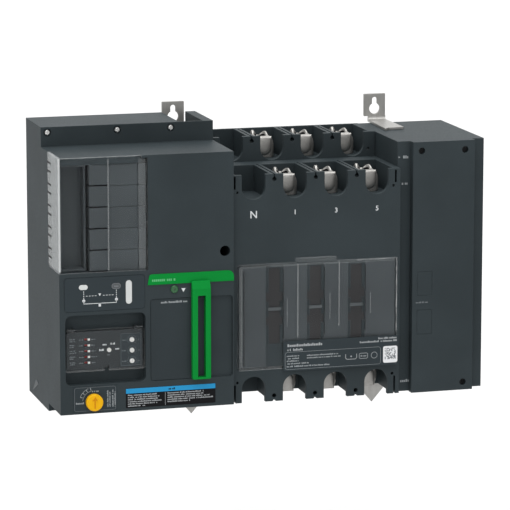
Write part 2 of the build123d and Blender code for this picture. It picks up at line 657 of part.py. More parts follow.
def barrier_slit(x, top, front, back):
    """Slit and round hole that hold a plate between two poles."""
    slit = block((x - 0.7, x + 0.7), (back, front + 1), (top - 4.0, top + 1))
    return slit + rod_y(x, top - 4.2, BARRIER_HOLE_R, (front - 12, front + 1))


def bar_slot(x, ds, zs):
    """Slot in which a copper bar passes from a terminal pocket into the contact chamber."""
    return block((x - BAR_SLOT_HALF, x + BAR_SLOT_HALF), (ds[0] - 0.3, ds[1] + 0.3), zs)


def switch_rear():
    """Rear half of the switch body: pockets for the first source and the rear contact chambers."""
    ds = (0, REAR_FRONT)
    shape = block((SWITCH_X0, SWITCH_X1), ds, (SWITCH_BOTTOM, SOURCE1_TOP))
    pocket_floor = SOURCE1_TOP - NOTCH_DROP - 1.5
    for x in POLE_X:
        pocket = (x - POCKET_HALF, x + POCKET_HALF)
        shape -= block(pocket, (WALL, REAR_FRONT - SWITCH_WALL), (pocket_floor, SOURCE1_TOP + 1))
        shape -= u_notch(x, SOURCE1_TOP, (REAR_FRONT - SWITCH_WALL - 1, REAR_FRONT + 1))
        shape -= block((x - CHAMBER_HALF, x + CHAMBER_HALF), (WALL, REAR_FRONT + 1), CHAMBER_Z)
    for x in FITTED_X:
        shape -= bar_slot(x, BAR1_DEPTH, (CHAMBER_Z[1] - 1, pocket_floor + 1))
    for x in BARRIER_X:
        shape -= barrier_slit(x, SOURCE1_TOP, REAR_FRONT, 6.0)
    shape -= rod_y(66.5, 90.1, 1.1, (REAR_FRONT - 6, REAR_FRONT + 1))
    return shape


def switch_front():
    """Front half of the switch body: pockets for the second source and the load."""
    shape = block((SWITCH_X0, SWITCH_X1), (REAR_FRONT, SWITCH_FRONT), (SWITCH_BOTTOM, SOURCE2_TOP))
    inner_front = SWITCH_FRONT - SWITCH_WALL
    floor2 = SOURCE2_TOP - NOTCH_DROP - 1.5
    ceiling = SWITCH_BOTTOM + NOTCH_DROP + 1.5
    through = (inner_front - 1, SWITCH_FRONT + 1)
    arch = SWITCH_BOTTOM + NOTCH_DROP + 1.0 - NOTCH_R
    for x in POLE_X:
        pocket = (x - POCKET_HALF, x + POCKET_HALF)
        shape -= block(pocket, (SOURCE2_POCKET_BACK, inner_front), (floor2, SOURCE2_TOP + 1))
        shape -= u_notch(x, SOURCE2_TOP, through)
        shape -= block((x - CHAMBER_HALF, x + CHAMBER_HALF), (REAR_FRONT - 1, inner_front - 5), CHAMBER_Z)
        shape -= block(pocket, (LOAD_POCKET_BACK, inner_front), (SWITCH_BOTTOM - 1, ceiling))
        shape -= block((x - NOTCH_R, x + NOTCH_R), through, (SWITCH_BOTTOM - 1, arch))
        shape -= rod_y(x, arch, NOTCH_R, through)
    for x in FITTED_X:
        shape -= bar_slot(x, BAR2_DEPTH, (CHAMBER_Z[1] - 1, floor2 + 1))
        shape -= bar_slot(x, LOAD_BAR_DEPTH, (ceiling - 1, CHAMBER_Z[0] + 1))
    shape -= rod_x(SHAFT_DEPTH, SHAFT_Z, SHAFT_R + 0.05, (SWITCH_X0 - 1, SWITCH_X1 - 2.8))
    deep = (SWITCH_FRONT - 12, SWITCH_FRONT + 1)
    for x in BARRIER_X:
        shape -= barrier_slit(x, SOURCE2_TOP, SWITCH_FRONT, SOURCE2_POCKET_BACK - 4)
        shape -= rod_y(x, SWITCH_BOTTOM + 4.7, BARRIER_HOLE_R, deep)
        nick = [(x - 2.2, SWITCH_BOTTOM - 1), (x, SWITCH_BOTTOM + 1.8), (x + 2.2, SWITCH_BOTTOM - 1)]
        shape -= prism_y(nick, deep)
    # Slots and small holes down both edges of the front
    for side in (-1, 1):
        x = side * 68.5
        for zs in ((72.0, 82.4), (SWITCH_BOTTOM - 1, -90.0)):
            shape -= block((x - 0.8, x + 0.8), deep, zs)
        for z in (69.5, -88.0):
            shape -= rod_y(side * 66.5, z, 1.2, deep)
    for x in BARRIER_X:
        for xs, zs in contact_window(x):
            shape -= block(xs, (SWITCH_FRONT - SIGHT_SINK, SWITCH_FRONT + 1), zs)
    return shape


def contact_window(x):
    """Two cross-shaped sight windows, one above the other, as boxes of (x, z)."""
    return [((x - 4.7, x + 4.7), (-26.6, 6.0)), ((x - 7.0, x + 7.0), (-21.8, -14.2)),
            ((x - 4.7, x + 4.7), (-56.8, -29.4)), ((x - 7.0, x + 7.0), (-41.2, -34.4))]


def window_plates():
    """Dark plates behind the sight windows."""
    ds = (SWITCH_FRONT - SIGHT_SINK, SWITCH_FRONT - 0.4)
    plates = []
    for x in BARRIER_X:
        parts = [block(xs, ds, zs) for xs, zs in contact_window(x)]
        plates += [parts[0] + parts[1], parts[2] + parts[3]]
    return plates


def window_bars():
    """Light bars between the upper and the lower sight windows."""
    return [block((x - 5.4, x + 5.4), (SWITCH_FRONT, SWITCH_FRONT + 0.5), (-29.2, -26.8)) for x in BARRIER_X]


def window_cover():
    """Clear cover over the sight windows, with a frame, ribs and a finger tab at the top."""
    rim = 2.4
    outer = block(WINDOW_X, (SWITCH_FRONT, SWITCH_FRONT + WINDOW_RISE), WINDOW_Z, 2.0)
    xs = (WINDOW_X[0] + rim, WINDOW_X[1] - rim)
    zs = (WINDOW_Z[0] + rim, WINDOW_Z[1] - rim)
    shape = outer - block(xs, (SWITCH_FRONT - 1, SWITCH_FRONT + 1.2), zs)
    shape -= block(xs, (SWITCH_FRONT + 2.0, SWITCH_FRONT + 3), zs)
    for x in (-15.1, 20.1, 54.5):
        shape += block((x - 0.45, x + 0.45), (SWITCH_FRONT + 1.5, SWITCH_FRONT + 2.5), (-54.5, zs[1] + 0.1))
    # Finger tab
    shape += block((-17.0, 16.8), (SWITCH_FRONT, SWITCH_FRONT + 3.2), (WINDOW_Z[1] - 1.0, WINDOW_Z[1] + 3.6))
    return shape


def nameplate():
    """Rating plate on the lower right of the window cover."""
    ds = (SWITCH_FRONT + WINDOW_RISE, SWITCH_FRONT + WINDOW_RISE + 0.5)
    return block((-28.0, 70.4), ds, (-80.0, -55.2), 1.2)


def lug(x, top, front):
    """Box lug with a cable hole from above, a bevelled shoulder and a rounded clamp face."""
    ds = (front - LUG_LENGTH, front)
    right = x + LUG_HALF
    shape = block((x - LUG_HALF, right), ds, (top - LUG_HEIGHT, top))
    bevel = [(right - 3.6, top + 0.1), (right + 0.1, top + 0.1), (right + 0.1, top - 6.5)]
    shape -= prism_y(bevel, (ds[0] - 1, ds[1] + 1))
    shape -= rod_z(x - 1.6, front - CABLE_SETBACK, CABLE_R, (top - CABLE_DEPTH, top + 1))
    # Clamp face with a round foot
    clamp = (front, front + 2.0)
    foot_z = top - 9.0
    middle = x + CLAMP_X
    shape += block((middle - 5.8, middle + 5.8), clamp, (foot_z, top)) + rod_y(middle, foot_z, 5.8, clamp)
    shape -= rod_y(middle, top - CLAMP_DROP, CLAMP_SCREW_R + 0.1, (front - 2.2, front + 3))
    return shape


def lug_screw(x, top, front):
    """Socket clamp screw in the front of a lug."""
    z = top - CLAMP_DROP
    shape = rod_y(x + CLAMP_X, z, CLAMP_SCREW_R, (front - 2.2, front + 1.2))
    face = Plane((x + CLAMP_X, -front, z), z_dir=(0, -1, 0))
    return shape - extrude(face * RegularPolygon(1.3, 6), 4)


def load_lug(x):
    """The same lug turned upside down, so that its cable hole opens below."""
    return lug(0, 0, LOAD_LUG_FRONT).mirror(Plane.XY).moved(Location((x, 0, LOAD_LUG_TOP)))


def load_lug_screw(x):
    return lug_screw(0, 0, LOAD_LUG_FRONT).mirror(Plane.XY).moved(Location((x, 0, LOAD_LUG_TOP)))


def source1_bar(x):
    """Copper bar from a lug of the first source down to the rear fixed contact."""
    top = LUG_ROWS[0][0] - LUG_HEIGHT
    shape = block((x - BAR_HALF, x + BAR_HALF), BAR1_DEPTH, (-4.0, top))
    shape += block((x - 5, x + 5), (BAR1_DEPTH[1], 36.0), (PAD_Z - PAD_R, PAD_Z + PAD_R))
    return shape + rod_y(x, PAD_Z, PAD_R, (36.0, SHAFT_DEPTH - PAD_GAP))


def source2_bar(x):
    """Copper bar from a lug of the second source down to the front fixed contact."""
    top = LUG_ROWS[1][0] - LUG_HEIGHT
    shape = block((x - BAR_HALF, x + BAR_HALF), BAR2_DEPTH, (-4.0, top))
    return shape + rod_y(x, PAD_Z, PAD_R, (SHAFT_DEPTH + PAD_GAP, BAR2_DEPTH[0]))


def load_bar(x):
    """Copper bar from a load lug up to the hub of the moving contact."""
    xs = (x - BAR_HALF, x + BAR_HALF)
    upper = (SHAFT_Z - 14.0, SHAFT_Z - 11.0)
    shape = block(xs, LOAD_BAR_DEPTH, (LOAD_LUG_TOP + LUG_HEIGHT, upper[1]))
    return shape + block(xs, (52.0, LOAD_BAR_DEPTH[0]), upper)


def moving_contact(x):
    """Blade of one pole on its hub, tilted back against the rear contact."""
    shape = rod_x(SHAFT_DEPTH, SHAFT_Z, 10.0, (x - 5, x + 5))
    shape += block((x - 4, x + 4), (SHAFT_DEPTH - 2, SHAFT_DEPTH + 2), (SHAFT_Z, SHAFT_Z + BLADE_LENGTH))
    shape -= rod_x(SHAFT_DEPTH, SHAFT_Z, SHAFT_R, (x - 6, x + 6))
    return about_shaft(shape, -HALF_THROW)


def cross_shaft():
    """Insulated shaft that turns all the poles together, with a lever at its left end."""
    shape = rod_x(SHAFT_DEPTH, SHAFT_Z, SHAFT_R, SHAFT_X)
    x = (SHAFT_X[0], SHAFT_X[0] + 6)
    lever = block(x, (SHAFT_DEPTH, SHAFT_DEPTH + CRANK_R), (SHAFT_Z - CRANK_HALF, SHAFT_Z + CRANK_HALF))
    lever += rod_x(SHAFT_DEPTH + CRANK_R, SHAFT_Z, CRANK_HALF, x)
    lever += rod_x(SHAFT_DEPTH + CRANK_R, SHAFT_Z, PIN_R, (YOKE_X[0] - 1, x[0]))
    return shape + about_shaft(lever, -HALF_THROW)


def arc_chute(x, ds):
    """Stack of splitter plates on two side cheeks, above a pair of contacts."""
    inner, outer = 12.0, 13.5
    zs = (16.0, 50.0)
    shape = block((x - outer, x - inner), ds, zs) + block((x + inner, x + outer), ds, zs)
    for k in range(6):
        z = zs[0] + 3.0 + k * 5.4
        shape += block((x - inner, x + inner), ds, (z, z + 1.4))
    return shape


# ---------------------------------------------------------------- supply box


def supply_base():
    """Power supply box on the right; its left strip is the face that carries the labels."""
    xs = (SWITCH_X1 + 0.1, RIGHT_X1)
    shape = block(xs, (0, SUPPLY_FRONT), SUPPLY_Z)
    inner = (xs[0] + WALL, xs[1] - WALL)
    shape -= block(inner, (WALL, SUPPLY_FRONT - WALL), (SUPPLY_Z[0] + WALL, SUPPLY_Z[1] - WALL))
    opening = (SUPPLY_COVER_X[0] + 4, SUPPLY_COVER_X[1] - 4)
    shape -= block(opening, (SUPPLY_FRONT - WALL - 1, SUPPLY_FRONT + 1), (SUPPLY_Z[0] + 13, SUPPLY_Z[1] - 13))
    for x, z in SUPPLY_SCREWS:
        shape -= rod_y(x, z, 1.6, (SUPPLY_FRONT - WALL - 1, SUPPLY_FRONT + 1))
    return shape


def supply_cover():
    """Front cover of the supply box, held by three screws in deep counterbores."""
    ds = (SUPPLY_FRONT, SUPPLY_COVER_FRONT)
    shape = block(SUPPLY_COVER_X, ds, (SUPPLY_Z[0] - 0.4, SUPPLY_Z[1]))
    inner = (SUPPLY_COVER_X[0] + 6, SUPPLY_COVER_X[1] - 14)
    shape -= block(inner, (ds[0] - 1, ds[1] - 2.4), (SUPPLY_Z[0] + 14, SUPPLY_Z[1] - 14))
    for x, z in SUPPLY_SCREWS:
        shape -= rod_y(x, z, 2.8, (ds[0] + 2.0, ds[1] + 1)) + rod_y(x, z, 1.7, (ds[0] - 1, ds[1]))
    # Two faint squares pressed into the face
    for z0, z1 in ((-24.4, -3.9), (-57.0, -36.0)):
        outline = block((87.8, 101.3), (ds[1] - 0.25, ds[1] + 1), (z0, z1), 0.8)
        shape -= outline - block((88.4, 100.7), (ds[1] - 1, ds[1] + 2), (z0 + 0.6, z1 - 0.6), 0.5)
    return shape


def supply_screws():
    """Cross-head screws of the supply cover, sunk in their counterbores."""
    seat, face = SUPPLY_FRONT + 2.0, SUPPLY_FRONT + 4.2
    screws = []
    for x, z in SUPPLY_SCREWS:
        shape = rod_y(x, z, 2.6, (seat, face)) + rod_y(x, z, 1.5, (SUPPLY_FRONT - 8, seat))
        screws.append(shape - cross_slot(x, z, 1.8, 0.35, (face - 1, face + 1)))
    return screws


def supply_board():
    """Circuit board of the power supply with its capacitors, on posts from the back wall."""
    shape = block((80.0, 140.0), SUPPLY_BOARD_DEPTH, (-92.0, 88.0))
    for x in (84.0, 136.0):
        for z in (-88.0, 84.0):
            shape += rod_y(x, z, 2.5, (WALL, SUPPLY_BOARD_DEPTH[0]))
    # Capacitors as centre x, centre z, radius and height
    for x, z, radius, tall in [(95, 60, 9, 32), (118, 60, 9, 32), (95, 30, 6, 22), (118, 30, 6, 22)]:
        shape += rod_y(x, z, radius, (SUPPLY_BOARD_DEPTH[1], SUPPLY_BOARD_DEPTH[1] + tall))
    return shape


def transformer_core():
    """Iron core with three upright legs, in one block on the supply board."""
    core = block((88.0, 132.0), CORE_DEPTH, (-70.0, -20.0))
    for xs in CORE_WINDOWS:
        core -= block(xs, (CORE_DEPTH[0] - 1, CORE_DEPTH[1] + 1), CORE_WINDOW_Z)
    return core


def transformer_winding():
    """Square winding round the middle leg of the core; it stands out in front and fills the windows."""
    low, high = CORE_WINDOW_Z
    front = CORE_DEPTH[1]
    xs = (CORE_WINDOWS[0][0] + 0.5, CORE_WINDOWS[1][1] - 0.5)
    zs = (low + 1.0, high - 1.0)
    winding = block(xs, (CORE_DEPTH[0] + 0.2, front + 6.0), zs)
    leg = (CORE_WINDOWS[0][1], CORE_WINDOWS[1][0])
    return winding - block(leg, (CORE_DEPTH[0] - 1, front + 0.1), (low - 1, high + 1))


# ---------------------------------------------------------------- fixing brackets


def keyhole(x, entry_z):
    """Keyhole: a round entry below a narrow seat for the screw."""
    ds = (-WALL_GAP - 1, -WALL_GAP + SHEET + 1)
    seat_z = entry_z + KEYHOLE_RISE
    hole = rod_y(x, entry_z, KEYHOLE_R, ds) + rod_y(x, seat_z, HOLE_R, ds)
    return hole + block((x - HOLE_R, x + HOLE_R), ds, (entry_z, seat_z))


def upper_bracket(x, leg_x, toe):
    """Angle bracket above a box: a plate with a keyhole, a narrower neck and a leg on the box."""
    plate_d = (-WALL_GAP, -WALL_GAP + SHEET)
    leg_top = TOP_Z + SHEET
    plate_z = (TOP_Z + 4.9, TOP_Z + 24.1)
    shape = block((x - PLATE_WIDTH / 2, x + PLATE_WIDTH / 2), plate_d, plate_z, 0.8)
    shape += block(leg_x, plate_d, (TOP_Z, plate_z[0] + 0.3))
    leg = [(leg_x[0], -WALL_GAP), (leg_x[1], -WALL_GAP), (leg_x[1], LEG_DEPTH), (leg_x[0], LEG_DEPTH)]
    if toe:
        leg[3:] = [(leg_x[0] + toe, LEG_DEPTH), (leg_x[0] - toe, LEG_DEPTH + 6.0)]
    shape += prism_z(leg, (TOP_Z, leg_top))
    # Rounded inside of the bend
    bend = 2.4
    inner = block(leg_x, (plate_d[1], plate_d[1] + bend), (leg_top, leg_top + bend))
    shape += inner - rod_x(plate_d[1] + bend, leg_top + bend, bend, leg_x)
    return shape - keyhole(x, FIXING_Z)


def lower_bracket(x, leg_x, box_bottom):
    """Angle bracket below a box: a plate that ends in a point, with one round hole."""
    plate_d = (-WALL_GAP, -WALL_GAP + SHEET)
    x0, x1 = x - 10.3, x + 10.3
    shoulder = LOWER_TIP_Z + 12.0
    outline = [(x0, box_bottom), (x1, box_bottom), (x1, shoulder), (x, LOWER_TIP_Z), (x0, shoulder)]
    shape = prism_y(outline, plate_d)
    shape += block(leg_x, (-WALL_GAP, LEG_DEPTH), (box_bottom - SHEET, box_bottom))
    return shape - rod_y(x, LOWER_HOLE_Z, HOLE_R, (-WALL_GAP - 1, -WALL_GAP + SHEET + 1))


# ---------------------------------------------------------------- write every node

save("mechanism_base", mechanism_base())
save("step_screws", step_screws())
save("mechanism_cover", mechanism_cover())
save("mimic_panel", mimic_panel())
for index, lamp_name in enumerate(("source1_lamp", "source2_lamp", "status_window")):
    save(lamp_name, lamp(index))
save("mode_lamp", mode_lamp())
save("green_strip", green_strip())
save("terminal_cover", terminal_cover())
save("terminal_modules", terminal_modules())
save("wire_duct", wire_duct())
save("controller", controller())
save("dial_panel", dial_panel())
save("dip_slot_floors", dip_slot_floors())
for index, slider_z in enumerate(DIP_Z):
    save(f"dip_slider_{index + 1}", dip_slider(slider_z))
save("selector", small_dial(*SELECTOR_XZ, SELECTOR_R))
for index, dial_z in enumerate(DIAL_Z):
    save(f"delay_dial_{index + 1}", small_dial(DIAL_X, dial_z, DIAL_R))
save("controller_lid", controller_lid())
save("test_knob", test_knob())
save("knob_plate", knob_plate())
save("notice_label", printed_plate(LABEL_POCKETS[1]))
save("mode_door", mode_door())
save("mode_handle", mode_handle())
save("hand_spindle", hand_spindle())
save("drive_yoke", drive_yoke())
save("coils", [coil(True), coil(False)])
save("coil_frame", coil_frame())
save("control_board", control_board())
save("switch_rear", switch_rear())
save("switch_front", switch_front())
save("window_plates", window_plates())
save("window_bars", window_bars())
save("window_cover", window_cover())
save("nameplate", nameplate())
save("source_lugs", [lug(x, top, front) for top, front in LUG_ROWS for x in FITTED_X])
save("load_lugs", [load_lug(x) for x in FITTED_X])
screws = [lug_screw(x, top, front) for top, front in LUG_ROWS for x in FITTED_X]
save("lug_screws", screws + [load_lug_screw(x) for x in FITTED_X])
save("source1_bars", [source1_bar(x) for x in FITTED_X])
save("source2_bars", [source2_bar(x) for x in FITTED_X])
save("load_bars", [load_bar(x) for x in FITTED_X])
save("moving_contacts", [moving_contact(x) for x in FITTED_X])
save("cross_shaft", cross_shaft())
save("arc_chutes", [arc_chute(x, ds) for x in FITTED_X for ds in ((26.0, 48.0), (62.0, 82.0))])
save("supply_base", supply_base())
save("supply_cover", supply_cover())
save("supply_screws", supply_screws())
save("supply_board", supply_board())
save("transformer", [transformer_core(), transformer_winding()])
save("upper_left_bracket", upper_bracket(FIXING_CENTRE_X - FIXING_X, (-96.0, -80.0), 0.0))
save("upper_right_bracket", upper_bracket(FIXING_CENTRE_X + FIXING_X, (84.0, 99.4), 2.4))
save("lower_brackets", [lower_bracket(LOWER_X[0], (-82.5, -71.5), BASE_BOTTOM),
                        lower_bracket(LOWER_X[1], (80.0, 97.0), SUPPLY_Z[0])])
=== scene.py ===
import json
import math
import random

import bmesh
import bpy
from mathutils import Matrix, Vector


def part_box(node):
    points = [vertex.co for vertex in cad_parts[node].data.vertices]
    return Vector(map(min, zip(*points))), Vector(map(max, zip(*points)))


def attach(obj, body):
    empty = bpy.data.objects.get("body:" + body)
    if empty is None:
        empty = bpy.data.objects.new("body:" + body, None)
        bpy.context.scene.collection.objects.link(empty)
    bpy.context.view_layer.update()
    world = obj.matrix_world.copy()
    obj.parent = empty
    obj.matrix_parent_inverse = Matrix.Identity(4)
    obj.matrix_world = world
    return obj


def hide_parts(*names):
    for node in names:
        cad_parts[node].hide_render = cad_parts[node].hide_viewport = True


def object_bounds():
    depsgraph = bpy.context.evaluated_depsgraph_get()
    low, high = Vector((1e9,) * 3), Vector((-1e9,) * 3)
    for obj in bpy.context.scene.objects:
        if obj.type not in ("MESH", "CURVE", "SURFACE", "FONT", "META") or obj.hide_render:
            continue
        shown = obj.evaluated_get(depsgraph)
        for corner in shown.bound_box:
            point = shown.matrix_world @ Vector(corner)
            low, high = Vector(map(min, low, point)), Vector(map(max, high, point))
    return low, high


# Looks of a wall-mounted automatic transfer switch. The CAD frame gives every shape and place;
# this script adds the surfaces, the printed legends, the light and the camera.
# Lengths are in metres, except on printed faces, where marks are placed in millimetres.

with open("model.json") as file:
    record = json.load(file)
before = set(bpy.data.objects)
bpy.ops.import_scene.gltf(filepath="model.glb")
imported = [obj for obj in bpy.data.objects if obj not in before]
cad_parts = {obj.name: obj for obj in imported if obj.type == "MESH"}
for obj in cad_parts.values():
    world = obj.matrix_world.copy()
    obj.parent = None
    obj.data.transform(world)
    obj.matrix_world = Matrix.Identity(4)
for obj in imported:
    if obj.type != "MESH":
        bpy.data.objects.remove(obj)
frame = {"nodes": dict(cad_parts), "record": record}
cad_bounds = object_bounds()
nodes = frame["nodes"]
MM = 0.001
INK_LIFT = 0.06


# ---------------------------------------------------------------- materials

materials = {}
# Colour of the painted sheen that clear plastic takes on towards grazing angles
PAINTED_SHEEN_COLOUR = (0.5, 0.52, 0.52)
GRAZING_POWER = 5.0


def ramp(tree, source, low, high, start, end):
    """A number that goes from low to high while the source goes from start to end."""
    node = tree.nodes.new("ShaderNodeMapRange")
    node.inputs["From Min"].default_value = start
    node.inputs["From Max"].default_value = end
    node.inputs["To Min"].default_value = low
    node.inputs["To Max"].default_value = high
    tree.links.new(source, node.inputs["Value"])
    return node.outputs["Result"]


def noise(tree, scale, detail=3.0, stretch=(1, 1, 1)):
    """Noise fixed to the object; stretch squeezes it along an axis into streaks."""
    coords = tree.nodes.new("ShaderNodeTexCoord")
    mapping = tree.nodes.new("ShaderNodeMapping")
    mapping.inputs["Scale"].default_value = stretch
    texture = tree.nodes.new("ShaderNodeTexNoise")
    texture.inputs["Scale"].default_value = scale
    texture.inputs["Detail"].default_value = detail
    tree.links.new(coords.outputs["Object"], mapping.inputs["Vector"])
    tree.links.new(mapping.outputs["Vector"], texture.inputs["Vector"])
    return texture.outputs["Fac"]


def blend_colours(tree, factor, a, b):
    """Mix of two colours; either may be a fixed colour or another node's output."""
    node = tree.nodes.new("ShaderNodeMix")
    node.data_type = "RGBA"
    tree.links.new(factor, node.inputs["Factor"])
    for value, socket in ((a, node.inputs[6]), (b, node.inputs[7])):
        if isinstance(value, tuple):
            socket.default_value = (*value, 1)
        else:
            tree.links.new(value, socket)
    return node.outputs[2]


def rounded_edges(tree, radius):
    """Normal that softens the edges, and a mask that is 1 along them."""
    bevel = tree.nodes.new("ShaderNodeBevel")
    bevel.samples = 4
    bevel.inputs["Radius"].default_value = radius
    geometry = tree.nodes.new("ShaderNodeNewGeometry")
    dot = tree.nodes.new("ShaderNodeVectorMath")
    dot.operation = "DOT_PRODUCT"
    tree.links.new(bevel.outputs["Normal"], dot.inputs[0])
    tree.links.new(geometry.outputs["Normal"], dot.inputs[1])
    return bevel.outputs["Normal"], ramp(tree, dot.outputs["Value"], 1, 0, 0.8, 0.995)


def surface(name, colour, rough, metallic=0.0, specular=0.5, vary=0.1, broad=18.0, grain=1600.0,
            relief=0.00004, edge=1.25, edge_radius=0.0006, stretch=(1, 1, 1), coat=0.0):
    """Solid surface: cloudy colour, fine grain in relief and gloss, and edges lighter, partly as wear and
    partly as painted highlight.
    """
    material = materials[name] = bpy.data.materials.new(name)
    material.use_nodes = True
    tree = material.node_tree
    shader = tree.nodes["Principled BSDF"]
    shader.inputs["Metallic"].default_value = metallic
    shader.inputs["Specular IOR Level"].default_value = specular
    shader.inputs["Coat Weight"].default_value = coat
    clouds = noise(tree, broad, 5.0)
    fine = noise(tree, grain, 3.0, stretch)
    dark = tuple(c * (1 - vary) for c in colour)
    light = tuple(min(1.0, c * (1 + vary)) for c in colour)
    # Lighter colour along the edges: partly wear, partly painted highlight where the edges catch the light
    worn_and_highlit = tuple(min(1.0, c * edge) for c in colour)
    body = blend_colours(tree, ramp(tree, clouds, 0, 1, 0.35, 0.65), dark, light)
    grained = blend_colours(tree, ramp(tree, fine, 0, 0.5, 0.4, 0.75), body, dark)
    normal, edges = rounded_edges(tree, edge_radius)
    # Edges lighter in patches: wear, and painted highlight along the edges
    wear_and_highlight = tree.nodes.new("ShaderNodeMath")
    wear_and_highlight.operation = "MULTIPLY"
    tree.links.new(edges, wear_and_highlight.inputs[0])
    tree.links.new(ramp(tree, noise(tree, 240.0), 0.2, 1.0, 0.35, 0.6), wear_and_highlight.inputs[1])
    tree.links.new(blend_colours(tree, wear_and_highlight.outputs[0], grained, worn_and_highlit), shader.inputs["Base Color"])
    tree.links.new(ramp(tree, fine, rough - 0.07, rough + 0.09, 0.3, 0.7), shader.inputs["Roughness"])
    bump = tree.nodes.new("ShaderNodeBump")
    bump.inputs["Strength"].default_value = 0.5
    bump.inputs["Distance"].default_value = relief
    tree.links.new(fine, bump.inputs["Height"])
    tree.links.new(normal, bump.inputs["Normal"])
    tree.links.new(bump.outputs["Normal"], shader.inputs["Normal"])
    return material


def ink(name, colour, rough=0.55, vary=0.06, specular=0.1, edge_radius=0.0001):
    """Print or flat trim: an even colour, without the lighter edges of wear and painted highlight."""
    surface(name, colour, rough, specular=specular, vary=vary, edge=1.0, edge_radius=edge_radius)


def clear(name, veil, cover, sheen=0.6):
    """Clear moulded plastic: a thin streaky veil face on, and a painted sheen towards grazing angles, where
    the colour turns pale and the plastic less clear.
    """
    material = surface(name, veil, 0.5, specular=0.05, vary=0.04, relief=0.000002, grain=300.0,
                       edge=1.3, edge_radius=0.0002)
    tree = material.node_tree
    principled = tree.nodes["Principled BSDF"]
    output = tree.nodes["Material Output"]
    glass = tree.nodes.new("ShaderNodeBsdfTransparent")
    angle = tree.nodes.new("ShaderNodeLayerWeight")
    angle.inputs["Blend"].default_value = 0.5
    grazing = tree.nodes.new("ShaderNodeMath")
    grazing.operation = "POWER"
    grazing.inputs[1].default_value = GRAZING_POWER
    tree.links.new(angle.outputs["Facing"], grazing.inputs[0])
    # Painted sheen: the colour pales towards grazing angles
    face_on = principled.inputs["Base Color"].links[0].from_socket
    painted_sheen = blend_colours(tree, grazing.outputs[0], face_on, PAINTED_SHEEN_COLOUR)
    tree.links.new(painted_sheen, principled.inputs["Base Color"])
    body = tree.nodes.new("ShaderNodeMath")
    body.operation = "MULTIPLY_ADD"
    body.inputs[1].default_value = sheen
    body.use_clamp = True
    streaks = noise(tree, 60.0, 4.0, (1, 1, 0.15))
    tree.links.new(grazing.outputs[0], body.inputs[0])
    tree.links.new(ramp(tree, streaks, cover, cover * 1.2, 0.35, 0.65), body.inputs[2])
    mix = tree.nodes.new("ShaderNodeMixShader")
    tree.links.new(body.outputs[0], mix.inputs[0])
    tree.links.new(glass.outputs[0], mix.inputs[1])
    tree.links.new(principled.outputs[0], mix.inputs[2])
    tree.links.new(mix.outputs[0], output.inputs["Surface"])


# How each metal squeezes its grain along the axes
BRUSHED = (1, 1, 0.08)
WOUND = (0.05, 0.05, 1)
LAMINATED = (1, 0.02, 1)

# Moulded plastics
surface("housing_plastic", (0.029, 0.038, 0.042), 0.55, specular=0.1, edge=1.5, edge_radius=0.0008)
surface("door_plastic", (0.025, 0.033, 0.037), 0.5, specular=0.12, edge=1.5)
surface("controller_plastic", (0.031, 0.036, 0.039), 0.5, specular=0.1, edge=1.4)
surface("terminal_plastic", (0.055, 0.065, 0.070), 0.5, specular=0.1, edge=1.5)
surface("black_plastic", (0.022, 0.025, 0.027), 0.5, specular=0.1, edge=1.6)
surface("green_plastic", (0.0015, 0.212, 0.030), 0.4, specular=0.06, vary=0.06, edge=1.4)
surface("yellow_plastic", (0.76, 0.40, 0.003), 0.4, specular=0.12, vary=0.05, edge=1.04)
surface("white_plastic", (0.72, 0.72, 0.70), 0.4, vary=0.04, edge=1.05)
surface("red_plastic", (0.46, 0.024, 0.020), 0.4, vary=0.06)
surface("shaft_plastic", (0.020, 0.016, 0.014), 0.35)
surface("sight_plate", (0.032, 0.032, 0.033), 0.55, specular=0.1, edge_radius=0.0003)
surface("lamp_lens", (0.55, 0.57, 0.56), 0.3, vary=0.05, coat=0.2)
surface("lamp_off", (0.080, 0.087, 0.092), 0.3, specular=0.2, vary=0.06)
surface("green_lens", (0.004, 0.075, 0.016), 0.3, vary=0.08, coat=0.25)

# Label stock
surface("label_stock", (0.027, 0.036, 0.041), 0.45, specular=0.1, vary=0.06, edge=1.3,
        edge_radius=0.0002)
surface("label_black", (0.006, 0.006, 0.007), 0.4, specular=0.08, vary=0.08, edge_radius=0.0002)

# Metals and the circuit board
surface("plated_steel", (0.37, 0.365, 0.35), 0.45, metallic=0.85, vary=0.12, broad=60.0, grain=900.0,
        stretch=BRUSHED, edge=1.3)
surface("screw_steel", (0.66, 0.66, 0.65), 0.3, metallic=1.0, broad=90.0, edge=1.2, edge_radius=0.0004)
surface("dark_screw", (0.014, 0.015, 0.016), 0.45, specular=0.15, broad=90.0, edge=1.8,
        edge_radius=0.0003)
surface("tinned_lug", (0.37, 0.362, 0.345), 0.52, metallic=0.9, vary=0.1, broad=120.0, grain=1400.0,
        edge=1.4, edge_radius=0.0005)
surface("copper", (0.62, 0.30, 0.17), 0.35, metallic=1.0, broad=60.0, stretch=BRUSHED)
surface("winding", (0.35, 0.13, 0.04), 0.35, metallic=0.6, grain=2600.0, stretch=WOUND, relief=0.0002)
surface("core_iron", (0.09, 0.09, 0.095), 0.6, metallic=0.7, stretch=LAMINATED, relief=0.0001)
surface("chute_steel", (0.12, 0.12, 0.12), 0.5, metallic=0.8)
surface("board", (0.010, 0.085, 0.030), 0.4, vary=0.2, broad=140.0)

# Clear mouldings, then the clear materials of the bars and rods laid on their edges, ribs and sides: painted
# highlight, painted sheen and painted shade
clear("clear_plastic", (0.80, 0.82, 0.84), 0.004)
clear("clear_lid", (0.80, 0.82, 0.82), 0.005)
clear("clear_window", (0.80, 0.82, 0.84), 0.004)
clear("clear_edge_highlight", (0.60, 0.62, 0.62), 0.68)
clear("clear_side_sheen", (0.42, 0.44, 0.44), 0.24, sheen=0.2)
clear("clear_glint", (0.60, 0.62, 0.62), 0.26)
clear("clear_line_highlight", (0.52, 0.54, 0.54), 0.14)
clear("clear_rim_highlight", (0.60, 0.62, 0.62), 0.035)
clear("clear_shade", (0.010, 0.011, 0.012), 0.35)

